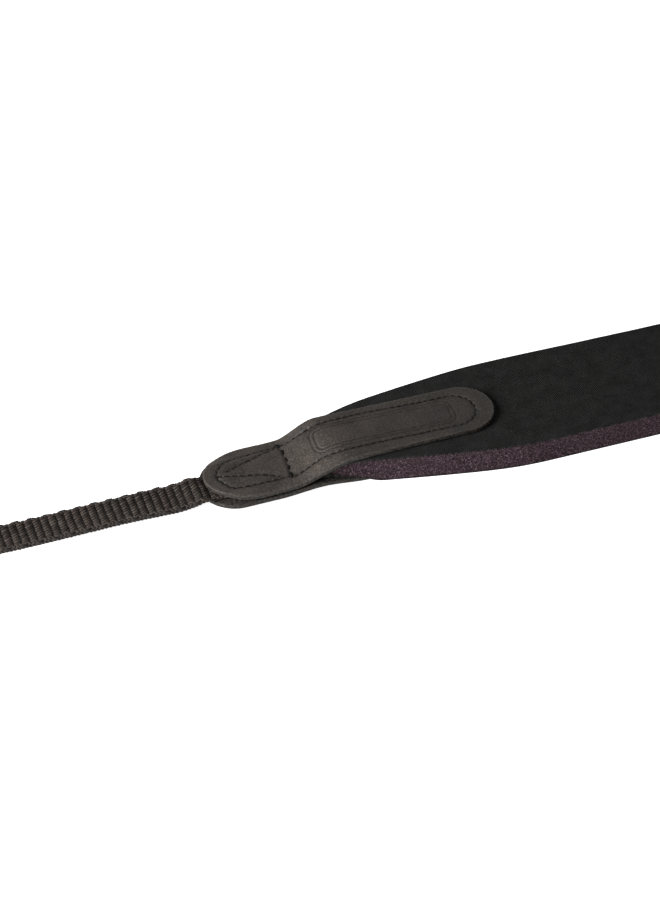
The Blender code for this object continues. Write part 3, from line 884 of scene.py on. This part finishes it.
class GeometryTree(NodeTree):
    """A geometry node tree with named inputs, and a single geometry output."""

    def __init__(self, name, **inputs):
        super().__init__(bpy.data.node_groups.new(name, "GeometryNodeTree"))
        self.identifiers = {}
        for label, kind in inputs.items():
            socket = self.tree.interface.new_socket(label, in_out="INPUT", socket_type=SOCKETS[kind])
            self.identifiers[label] = socket.identifier
        self.tree.interface.new_socket("Geometry", in_out="OUTPUT", socket_type=SOCKETS["geometry"])
        self.inputs = self.tree.nodes.new("NodeGroupInput").outputs

    def random(self, low, high, seed):
        return self.add("FunctionNodeRandomValue", {2: low, 3: high, "Seed": seed}, data_type="FLOAT").outputs[1]

    def stored_vector(self, name):
        return self.first("GeometryNodeInputNamedAttribute", {"Name": name}, data_type="FLOAT_VECTOR")

    def store(self, geometry, name, value, domain):
        return self.first("GeometryNodeStoreNamedAttribute", {"Geometry": geometry, "Name": name, "Value": value},
                          data_type="FLOAT", domain=domain)

    def finish(self, geometry):
        """Ends the tree: what it made is smooth, realised and has the material."""
        geometry = self.first("GeometryNodeRealizeInstances", {0: geometry})
        geometry = self.first("GeometryNodeSetShadeSmooth", {0: geometry})
        inputs = {"Geometry": geometry, "Material": self.inputs["Material"]}
        geometry = self.first("GeometryNodeSetMaterial", inputs)
        self.tree.links.new(geometry, self.tree.nodes.new("NodeGroupOutput").inputs[0])

    def run(self, name, mesh, **values):
        """The plain mesh that the tree makes from a mesh, with its inputs set to the values."""
        source = add_object(name, mesh)
        modifier = source.modifiers.new(self.tree.name, "NODES")
        modifier.node_group = self.tree
        for label, value in values.items():
            modifier[self.identifiers[label]] = value
        graph = bpy.context.evaluated_depsgraph_get()
        result = bpy.data.meshes.new_from_object(source.evaluated_get(graph), depsgraph=graph)
        source.modifiers.remove(modifier)
        bpy.data.objects.remove(source)
        return result


def path_mesh(name, path, attribute, vectors):
    """A mesh of edges along a path of 3-D points, with a vector at each point as its attribute."""
    mesh = bpy.data.meshes.new(name)
    mesh.from_pydata(path.tolist(), [(i, i + 1) for i in range(len(path) - 1)], [])
    stored = mesh.attributes.new(attribute, "FLOAT_VECTOR", "POINT").data
    stored.foreach_set("vector", vectors.ravel().astype(np.float32))
    return mesh


# ---- Stitching ----
STITCH_ARCH = 0.12 * MM
STITCH_DIVE = 0.55 * MM
STITCH_SHOULDER = 0.75
STITCH_STEPS = 8
STITCH_YAW = 0.24
STITCH_YAW_SEED = 4
STITCH_SIZES = (0.72, 1.12)
STITCH_SIZES_SEED = 7
THREAD_SIDES = 7
UNDER_THREAD_HEIGHT = 0.3 * MM
SLOPE_STEP = 0.05 * MM


def stitch_tree():
    """Stitches along a path: each a short arch of thread whose two ends dive into the leather."""
    made = GeometryTree("stitch_row", Path="geometry", Pitch="size", Radius="size", Arch="size", Dive="size",
                        Gap="size", Material="material")
    inputs = made.inputs
    rows = made.first("GeometryNodeMeshToCurve", {0: inputs["Path"]})
    places = made.first("GeometryNodeResampleCurve", {"Curve": rows, "Length": inputs["Pitch"]}, mode="LENGTH")
    half = made.times(made.minus(inputs["Pitch"], inputs["Gap"]), 0.5)
    shoulder = made.times(half, STITCH_SHOULDER)
    dive = made.times(inputs["Dive"], -1.0)
    arch = made.first("GeometryNodeCurvePrimitiveBezierSegment", {
        "Resolution": STITCH_STEPS,
        "Start": made.combine(made.times(half, -1.0), 0.0, dive),
        "Start Handle": made.combine(made.times(shoulder, -1.0), 0.0, inputs["Arch"]),
        "End Handle": made.combine(shoulder, 0.0, inputs["Arch"]),
        "End": made.combine(half, 0.0, dive),
    })
    profile = made.first("GeometryNodeCurvePrimitiveCircle", {"Resolution": THREAD_SIDES, "Radius": inputs["Radius"]})
    stitch = made.first("GeometryNodeCurveToMesh", {"Curve": arch, "Profile Curve": profile, "Fill Caps": True})
    turn = made.first("FunctionNodeAlignRotationToVector", {"Vector": made.first("GeometryNodeInputTangent")},
                      axis="X")
    turn = made.first("FunctionNodeAlignRotationToVector",
                      {"Rotation": turn, "Vector": made.stored_vector("outward")}, axis="Z", pivot_axis="X")
    size = made.random(*STITCH_SIZES, STITCH_SIZES_SEED)
    stitches = made.first("GeometryNodeInstanceOnPoints", {
        "Points": places, "Instance": stitch, "Rotation": turn, "Scale": size,
    })
    yaw = made.combine(0.0, 0.0, made.random(-STITCH_YAW, STITCH_YAW, STITCH_YAW_SEED))
    made.finish(made.first("GeometryNodeRotateInstances", {"Instances": stitches, "Rotation": yaw}))
    return made


def build_stitching(strap):
    tabs = strap.tabs
    thread = thread_material(tabs)
    made = stitch_tree()

    def on_top(u, y):
        return front_height(u, y, strap) - THREAD_SINK

    def below(u, y):
        return back_height(u) + UNDER_THREAD_HEIGHT

    meshes = []
    for row in stitch_rows():
        pitch = row.pitch * tabs.stitch_pitch
        u, y = dense_path(row.points, PATH_STEP)
        for height, out in ((on_top, 1), (below, -1)):
            slope_u = (height(u + SLOPE_STEP, y) - height(u - SLOPE_STEP, y)) / (2 * SLOPE_STEP)
            slope_y = (height(u, y + SLOPE_STEP) - height(u, y - SLOPE_STEP)) / (2 * SLOPE_STEP)
            outward = np.stack([-slope_u, -slope_y, np.ones_like(u)], -1) * out
            lines = path_mesh("stitch_path", np.stack([u, y, height(u, y)], -1), "outward", outward)
            meshes.append(made.run("stitch_path", lines, Pitch=pitch, Radius=row.thread * tabs.thread / 2,
                                   Arch=STITCH_ARCH, Dive=STITCH_DIVE, Gap=row.gap * pitch, Material=thread))
    add_at_both_ends("stitching", joined_meshes(meshes), thread, replaced=False)


def joined_meshes(meshes):
    together = bmesh.new()
    for mesh in meshes:
        together.from_mesh(mesh)
    bmesh.ops.recalc_face_normals(together, faces=together.faces)
    result = bpy.data.meshes.new("joined")
    together.to_mesh(result)
    together.free()
    result.shade_smooth()
    return result


# ---- The webbing ----
WEB_PRESSED = 0.9 * MM
WEB_SWELL = 2.2 * MM
WEB_SEAT_Y = -1.8 * MM
WEB_FAR_Y = -0.6 * MM
WEB_INSIDE = 21.5 * MM
WEB_SAG_AT = 10.0 * MM
WEB_SAG_HEIGHT = 1.5 * MM
WEB_LANDING = 62.0 * MM
TAIL_RAMP = 14.0 * MM
TAIL_RAMP_GAP = 2.0 * MM
LOOP_REACH = 30.0 * MM
LOOP_HEIGHT = 7.2 * MM
LOOP_END_FLAT = 1.6 * MM
LOOP_SLOPE = 17.0 * MM
SLIDER_LENGTH = SLIDER_BOX[1].x - SLIDER_BOX[0].x
SLIDER_THICK = SLIDER_BOX[1].z - SLIDER_BOX[0].z
SLIDER_AT = -TIP_AT - (SLIDER_BOX[0].x + SLIDER_BOX[1].x) / 2
HUMP_FLAT = 0.6 * MM
HUMP_CREST_RADIUS = 1.8 * MM
HUMP_FOOT_RADIUS = 3.4 * MM
HUMP_SLOPE = 66
WEB_ARC_STEP = 5
WEB_RAMP_STEPS = 24

# How far the webbing's near edge hangs below its far edge, by distance outwards, where the back tab lets go of it.
WebRoll = namedtuple("WebRoll", "reach drop")
WEB_ROLLS = (
    WebRoll(0.0010, 0.0000),
    WebRoll(0.0045, 0.0007),
    WebRoll(0.0100, 0.0005),
    WebRoll(0.0300, 0.0000),
)


def ramp(start, end):
    """Points of an S-curve between two places, without the first."""
    shares = np.arange(1, WEB_RAMP_STEPS + 1) / WEB_RAMP_STEPS
    return list(zip(mix(start[0], end[0], shares), mix(start[1], end[1], smooth(shares))))


def hump(lift, webbing):
    """Half of the way over the slider's middle bar, from its crest outwards. lift is 0 for the strand that lies on
    the bar and one strand's step for the one on top of it, which runs parallel to it."""
    floor, step = webbing.thickness / 2, webbing.thickness + LAYER_GAP
    top = 2 * step + SLIDER_THICK + LAYER_GAP + floor
    cos, sin = math.cos(math.radians(HUMP_SLOPE)), math.sin(math.radians(HUMP_SLOPE))
    radii = HUMP_CREST_RADIUS + HUMP_FOOT_RADIUS
    incline = (top - floor - radii * (1 - cos)) / sin
    foot_centre = (HUMP_FLAT + radii * sin + incline * cos, floor + HUMP_FOOT_RADIUS)
    crest_centre = (HUMP_FLAT, top - HUMP_CREST_RADIUS)
    crest = arc_points(crest_centre, HUMP_CREST_RADIUS + lift, 90, 90 - HUMP_SLOPE, WEB_ARC_STEP)
    return crest + arc_points(foot_centre, HUMP_FOOT_RADIUS - lift, -90 - HUMP_SLOPE, -90, WEB_ARC_STEP)


def press_at(outwards, webbing):
    """The webbing's thickness as a share of its full one: pressed thin between the tabs."""
    return mix(WEB_PRESSED / webbing.thickness, 1, smooth(outwards / WEB_SWELL))


def webbing_line(strap):
    """From inside the tabs out to the loop and back to the tail's end, as (distance outwards, height)."""
    webbing = strap.webbing
    floor = webbing.thickness / 2
    step = webbing.thickness + LAYER_GAP
    upper = floor + step
    over_bar, on_bar = hump(step, webbing), hump(0, webbing)
    tail_end = SLIDER_AT - on_bar[-1][0] - webbing.tail
    loop_radius = (LOOP_HEIGHT - LOOP_END_FLAT) / 2
    loop_bend = LOOP_REACH + SLIDER_LENGTH / 2 + SLIDER_AT - floor - loop_radius
    slope_start = SLIDER_AT + SLIDER_LENGTH / 2 + LAYER_GAP

    line = []
    for outwards in (-WEB_INSIDE, -WEB_INSIDE / 2, 0.0, WEB_SWELL / 2, WEB_SWELL):
        half = webbing.thickness / 2 * press_at(outwards, webbing)
        line.append((outwards, back_height(-outwards) + strap.tabs.back_leather + LAYER_GAP + half))
    line += ramp(line[-1], (WEB_SAG_AT, WEB_SAG_HEIGHT + floor))
    line += ramp(line[-1], (WEB_LANDING, floor))
    line += [(tail_end - TAIL_RAMP_GAP - TAIL_RAMP, floor)]
    line += ramp(line[-1], (tail_end - TAIL_RAMP_GAP, upper))
    line += [(SLIDER_AT - x, z) for x, z in reversed(over_bar)]
    line += [(SLIDER_AT + x, z) for x, z in over_bar]
    line += [(slope_start, upper)]
    line += ramp(line[-1], (slope_start + LOOP_SLOPE, floor + LOOP_HEIGHT))
    line += arc_points((loop_bend, floor + LOOP_HEIGHT - loop_radius), loop_radius, 90, 0, WEB_ARC_STEP)
    line += arc_points((loop_bend, floor + loop_radius), loop_radius, 0, -90, WEB_ARC_STEP)
    line += [(SLIDER_AT + x, z) for x, z in reversed(on_bar)]
    line += [(SLIDER_AT - x, z) for x, z in on_bar]
    line += [(tail_end, floor)]
    return np.array([point for point, before in zip(line, [None, *line]) if point != before])


# How the yarns fill the webbing. Half sizes are along, across and through it. Edge yarns lean like a plait, and a
# dark loop of weft stands out from each edge at every other rib. The yarns' ends are round at a bluntness of 2 and
# squarer above it.
YARN_WANDER = 0.08
YARN_SIZES = (0.88, 1.06)
YARN_SIDES = 6
YARN_RINGS = 4
YARN_BLUNTNESS = 6
FACE_YARN_SHARE = 0.41
FACE_YARN_HALF_HEIGHT = 0.42 * MM
FACE_YARN_LENGTH_SHARE = 0.505
FACE_MARGIN = 1.7 * MM
FACE_SLANT = math.radians(-20)
BRAID_YARN = (0.80 * MM, 0.30 * MM, 0.34 * MM)
BRAID_INSET = 0.62 * MM
BRAID_SLANT = math.radians(34)
EDGE_YARN = (0.78 * MM, 0.40 * MM, 0.36 * MM)
EDGE_HEIGHT = 0.35 * MM
EDGE_LEAN = math.radians(27)
WEFT_YARN = (1.15 * MM, 0.50 * MM, 0.50 * MM)
WEFT_OUT = 0.40 * MM
WEFT_HEIGHT = 0.45 * MM
WEFT_SHADE = 0.85
EDGE_SHADE = 0.25
CORE_MARGIN = 1.0 * MM
CORE_DEPTH = 0.36 * MM
CORE_CUTS_PER_RIB = 3.0

# Seeds of the yarns on the upper and the lower side. Each field of yarns uses three in a row.
FACE_SEEDS = (10, 20)
EDGE_SEEDS = (30, 40)
BRAID_SEEDS = (50, 60)
WEFT_SEED = 70


def blunt_ball(made):
    """A ball of radius 1 that is drawn out into blunt ends along X, so that yarns meet in a thin dark line."""
    ball = made.first("GeometryNodeMeshUVSphere", {"Segments": YARN_SIDES, "Rings": YARN_RINGS, "Radius": 1.0})
    ball = made.first("GeometryNodeTransform", {"Geometry": ball, "Rotation": (0, math.pi / 2, 0)})
    place = made.first("GeometryNodeInputPosition")
    along = made.maths("POWER", made.separate(place)[0], 2.0)
    across = made.minus(1.0, along)
    powers = [made.maths("POWER", square, YARN_BLUNTNESS / 2) for square in (along, across)]
    radius = made.maths("POWER", made.maths("ADD", *powers), -1 / YARN_BLUNTNESS)
    return made.first("GeometryNodeSetPosition", {"Geometry": ball, "Position": made.scaled(place, radius)})


def yarn_field(made, run, spacing, rows, span, half_size, height, tilt, stagger, seed, shade=0.0):
    """Short fat yarns on a grid along the run: rows of them across the span at that height, every other rank moved
    across by the stagger. tilt is their lean as X, Y and Z angles, and shade how dark they are."""
    ranks = made.maths("FLOOR", made.maths("DIVIDE", run, spacing))
    reach = made.times(made.minus(ranks, 1.0), spacing)
    grid = made.first("GeometryNodeMeshGrid", {
        "Size X": reach, "Size Y": span, "Vertices X": ranks, "Vertices Y": rows,
    })
    rank = made.maths("FLOOR", made.maths("DIVIDE", made.first("GeometryNodeInputIndex"), rows))
    odd = made.minus(made.maths("MODULO", rank, 2.0), 0.5)
    offset = made.combine(made.times(run, 0.5), made.times(odd, stagger), height)
    placed = made.first("GeometryNodeSetPosition", {"Geometry": grid, "Offset": offset})
    yarn = made.first("GeometryNodeTransform", {"Geometry": blunt_ball(made), "Scale": half_size})
    lean = made.first("FunctionNodeRandomValue", {
        0: [angle - YARN_WANDER for angle in tilt], 1: [angle + YARN_WANDER for angle in tilt], "Seed": seed,
    }, data_type="FLOAT_VECTOR")
    size = made.random(*YARN_SIZES, seed + 1)
    yarns = made.first("GeometryNodeInstanceOnPoints", {
        "Points": placed, "Instance": yarn, "Rotation": lean, "Scale": size,
    })
    yarns = made.store(yarns, "yarn_tone", made.random(0.0, 1.0, seed + 2), "INSTANCE")
    return made.first("GeometryNodeRealizeInstances", {0: made.store(yarns, "gap", shade, "INSTANCE")})


def webbing_tree():
    """Ribbed webbing along a path: ribs of yarn on both faces, a plait along both edges and a core whose dark colour
    is painted shade between the yarns, made straight and then bent to the path. The path's form attribute holds its
    share of the full thickness as X, and how far the near edge hangs as Y."""
    made = GeometryTree("ribbed_webbing", Path="geometry", Width="size", Thickness="size", Pitch="size",
                        Yarns="count", Material="material")
    width, thickness, pitch, yarns = (made.inputs[name] for name in ("Width", "Thickness", "Pitch", "Yarns"))
    line = made.first("GeometryNodeMeshToCurve", {0: made.inputs["Path"]})
    run = made.first("GeometryNodeCurveLength", {0: line})
    half_thick = made.times(thickness, 0.5)

    across = made.maths("DIVIDE", made.minus(width, FACE_MARGIN), made.minus(yarns, 0.5))
    span = made.times(across, made.minus(yarns, 1.0))
    face_yarn = made.combine(made.times(pitch, FACE_YARN_LENGTH_SHARE), made.times(across, FACE_YARN_SHARE),
                             FACE_YARN_HALF_HEIGHT)
    height = made.minus(half_thick, FACE_YARN_HALF_HEIGHT)
    parts = []
    for side, seed in zip((1.0, -1.0), FACE_SEEDS):
        parts.append(yarn_field(made, run, pitch, yarns, span, face_yarn, made.times(height, side),
                                (0, 0, side * FACE_SLANT), made.times(across, side * 0.5), seed))
    edge_pitch = made.times(pitch, 0.5)
    edge_span = made.minus(width, 2 * EDGE_YARN[1])
    braid_span = made.minus(width, 2 * BRAID_INSET)
    braid_height = made.minus(half_thick, BRAID_YARN[2])
    for side, edge_seed, braid_seed in zip((1.0, -1.0), EDGE_SEEDS, BRAID_SEEDS):
        parts.append(yarn_field(made, run, edge_pitch, 2, edge_span, EDGE_YARN, side * EDGE_HEIGHT,
                                (0, side * EDGE_LEAN, 0), 0.0, edge_seed, EDGE_SHADE))
        parts.append(yarn_field(made, run, edge_pitch, 2, braid_span, BRAID_YARN, made.times(braid_height, side),
                                (0, 0, side * BRAID_SLANT), 0.0, braid_seed, EDGE_SHADE))
    weft_span = made.minus(width, 2 * (WEFT_YARN[1] - WEFT_OUT))
    parts.append(yarn_field(made, run, made.times(pitch, 2.0), 2, weft_span, WEFT_YARN, WEFT_HEIGHT, (0, 0, 0),
                            0.0, WEFT_SEED, WEFT_SHADE))
    # The core's dark colour is painted shade that shows between the yarns.
    core = made.first("GeometryNodeMeshCube", {
        "Size": made.combine(run, made.minus(width, CORE_MARGIN), made.minus(thickness, 2 * CORE_DEPTH)),
        "Vertices X": made.times(made.maths("DIVIDE", run, pitch), CORE_CUTS_PER_RIB),
    })
    core = made.first("GeometryNodeTransform", {
        "Geometry": core, "Translation": made.combine(made.times(run, 0.5), 0.0, 0.0),
    })
    join = made.add("GeometryNodeJoinGeometry")
    for part in (*parts, made.store(core, "gap", 1.0, "POINT")):
        made.tree.links.new(part, join.inputs[0])

    along, aside, above = made.separate(made.first("GeometryNodeInputPosition"))
    sample = made.add("GeometryNodeSampleCurve", {
        "Curves": line, "Value": made.stored_vector("form"), "Length": along,
    }, mode="LENGTH", data_type="FLOAT_VECTOR").outputs
    press, hang, _ = made.separate(sample["Value"])
    out = made.vector_maths("NORMALIZE", made.vector_maths("CROSS_PRODUCT", (0, 1, 0), sample["Tangent"]))
    bent = made.vector_maths("ADD", sample["Position"], made.scaled(out, made.times(above, press)))
    nearness = made.minus(made.maths("DIVIDE", aside, width), 0.5)
    bent = made.vector_maths("ADD", bent, made.combine(0.0, aside, made.times(nearness, hang)))
    made.finish(made.first("GeometryNodeSetPosition", {"Geometry": join.outputs[0], "Position": bent}))
    return made


def build_webbing(strap):
    webbing = strap.webbing
    outwards, height = webbing_line(strap).T
    middle = mix(WEB_SEAT_Y, WEB_FAR_Y, np.clip(outwards / WEB_LANDING, 0, 1))
    path = np.stack([-outwards, middle, height], -1)
    form = np.stack([press_at(outwards, webbing), eased(WEB_ROLLS, outwards), 0 * outwards], -1)
    material = webbing_material(webbing)
    lines = path_mesh("webbing_path", path, "form", form)
    mesh = webbing_tree().run("webbing_path", lines, Width=webbing.width, Thickness=webbing.thickness,
                              Pitch=webbing.rib_pitch, Yarns=webbing.yarns, Material=material)
    add_at_both_ends("webbing", mesh, material)


def dress_sliders(strap):
    plastic = slider_material(strap.webbing)
    for side in ("left", "right"):
        for material_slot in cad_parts[f"slider_{side}"].material_slots:
            material_slot.material = plastic


# ---- Floor, light and camera ----
Lamp = namedtuple("Lamp", "name place aim size power")
LAMPS = (
    Lamp("key", (-0.68, -0.11, 0.30), (-0.17, 0.0, 0.0), 0.32, 7.6),
    Lamp("fill", (0.35, 0.60, 0.70), (-0.10, 0.0, 0.0), 0.60, 0.8),
)
FLOOR_HALF = 6.0
FLOOR_GLOW = 0.92
SKY_STRENGTH = 0.22


def build_floor(strap):
    corners = [(x * FLOOR_HALF, y * FLOOR_HALF, 0) for x, y in ((-1, -1), (1, -1), (1, 1), (-1, 1))]
    mesh = bpy.data.meshes.new("floor")
    mesh.from_pydata(corners, [], [(0, 1, 2, 3)])
    sheet, colour = Finish("floor", roughness=0.9, specular=0.0), strap.stage.floor_colour
    sheet.shader["Emission Color"].default_value = (1, 1, 1, 1)
    sheet.shader["Emission Strength"].default_value = FLOOR_GLOW
    paper = sheet.noise(FLOOR_PAPER)
    mesh.materials.append(sheet.done(sheet.blend(paper, tint(colour, 0.99), colour), ((paper, 0.01 * MM),)))
    floor = add_object("floor", mesh)


def build_lights(strap):
    for lamp in LAMPS:
        light = bpy.data.lights.new(lamp.name, "AREA")
        light.size = lamp.size
        light.energy = lamp.power
        holder = add_object(lamp.name, light)
        holder.location = lamp.place
        holder.rotation_euler = (Vector(lamp.aim) - Vector(lamp.place)).to_track_quat("-Z", "Y").to_euler()
    world = bpy.data.worlds.new("studio")
    world.use_nodes = True
    sky = world.node_tree.nodes["Background"]
    sky.inputs["Color"].default_value = (1, 1, 1, 1)
    sky.inputs["Strength"].default_value = SKY_STRENGTH
    bpy.context.scene.world = world
    bpy.context.scene.view_settings.view_transform = "Standard"


def build_camera(strap):
    stage = strap.stage
    turn, rise = stage.azimuth, stage.elevation
    back = Vector((math.sin(turn) * math.cos(rise), -math.cos(turn) * math.cos(rise), math.sin(rise)))
    camera = add_object("camera", bpy.data.cameras.new("camera"))
    camera.data.lens = stage.lens
    camera.location = Vector((stage.aim_reach - TIP_AT, stage.aim_y, stage.aim_height)) + back * stage.distance
    camera.rotation_euler = (-back).to_track_quat("-Z", "Y").to_euler()
    bpy.context.scene.camera = camera


# ---- Add-on ----
class Builder:
    """What the operators share: each runs its functions on the scene's settings."""

    def execute(self, context):
        for build in self.builds:
            build(context.scene.neck_strap)
        return {"FINISHED"}


class NECKSTRAP_OT_build_pad(Builder, bpy.types.Operator):
    """Build the foam pad and the cloth on both its faces"""

    bl_idname = "neck_strap.build_pad"
    bl_label = "Build Pad"
    builds = (build_pad,)


class NECKSTRAP_OT_build_tabs(Builder, bpy.types.Operator):
    """Build the front and back leather tabs at both ends"""

    bl_idname = "neck_strap.build_tabs"
    bl_label = "Build Tabs"
    builds = (build_tabs,)


class NECKSTRAP_OT_build_stitching(Builder, bpy.types.Operator):
    """Sew the tabs' rows of stitching"""

    bl_idname = "neck_strap.build_stitching"
    bl_label = "Build Stitching"
    builds = (build_stitching,)


class NECKSTRAP_OT_build_webbing(Builder, bpy.types.Operator):
    """Weave the ribbed webbing along its path at both ends"""

    bl_idname = "neck_strap.build_webbing"
    bl_label = "Build Webbing"
    builds = (build_webbing,)


class NECKSTRAP_OT_dress_sliders(Builder, bpy.types.Operator):
    """Give both sliders their plastic"""

    bl_idname = "neck_strap.dress_sliders"
    bl_label = "Dress Sliders"
    builds = (dress_sliders,)


class NECKSTRAP_OT_build_stage(Builder, bpy.types.Operator):
    """Set up the floor, the lights and the camera"""

    bl_idname = "neck_strap.build_stage"
    bl_label = "Build Stage"
    builds = (build_floor, build_lights, build_camera)


OPERATORS = (
    NECKSTRAP_OT_build_pad,
    NECKSTRAP_OT_build_tabs,
    NECKSTRAP_OT_build_stitching,
    NECKSTRAP_OT_build_webbing,
    NECKSTRAP_OT_dress_sliders,
    NECKSTRAP_OT_build_stage,
)


class NECKSTRAP_PT_sidebar(bpy.types.Panel):
    """Lists the strap's operators and settings"""

    bl_label = "Neck Strap"
    bl_space_type = "VIEW_3D"
    bl_region_type = "UI"
    bl_category = "Neck Strap"

    def draw(self, context):
        for operator in OPERATORS:
            self.layout.operator(operator.bl_idname)
        strap = context.scene.neck_strap
        for group in (strap.pad, strap.tabs, strap.webbing, strap.stage):
            box = self.layout.box()
            for key in group.bl_rna.properties.keys():
                if key not in ("rna_type", "name"):
                    box.prop(group, key)


CLASSES = (PadSettings, TabSettings, WebbingSettings, StageSettings, StrapSettings, *OPERATORS, NECKSTRAP_PT_sidebar)


def register():
    for made in CLASSES:
        bpy.utils.register_class(made)
    bpy.types.Scene.neck_strap = PointerProperty(type=StrapSettings)


def unregister():
    del bpy.types.Scene.neck_strap
    for made in reversed(CLASSES):
        bpy.utils.unregister_class(made)


def main():
    register()
    for operator in OPERATORS:
        group, name = operator.bl_idname.split(".")
        getattr(getattr(bpy.ops, group), name)()


if __name__ == "__main__":
    main()
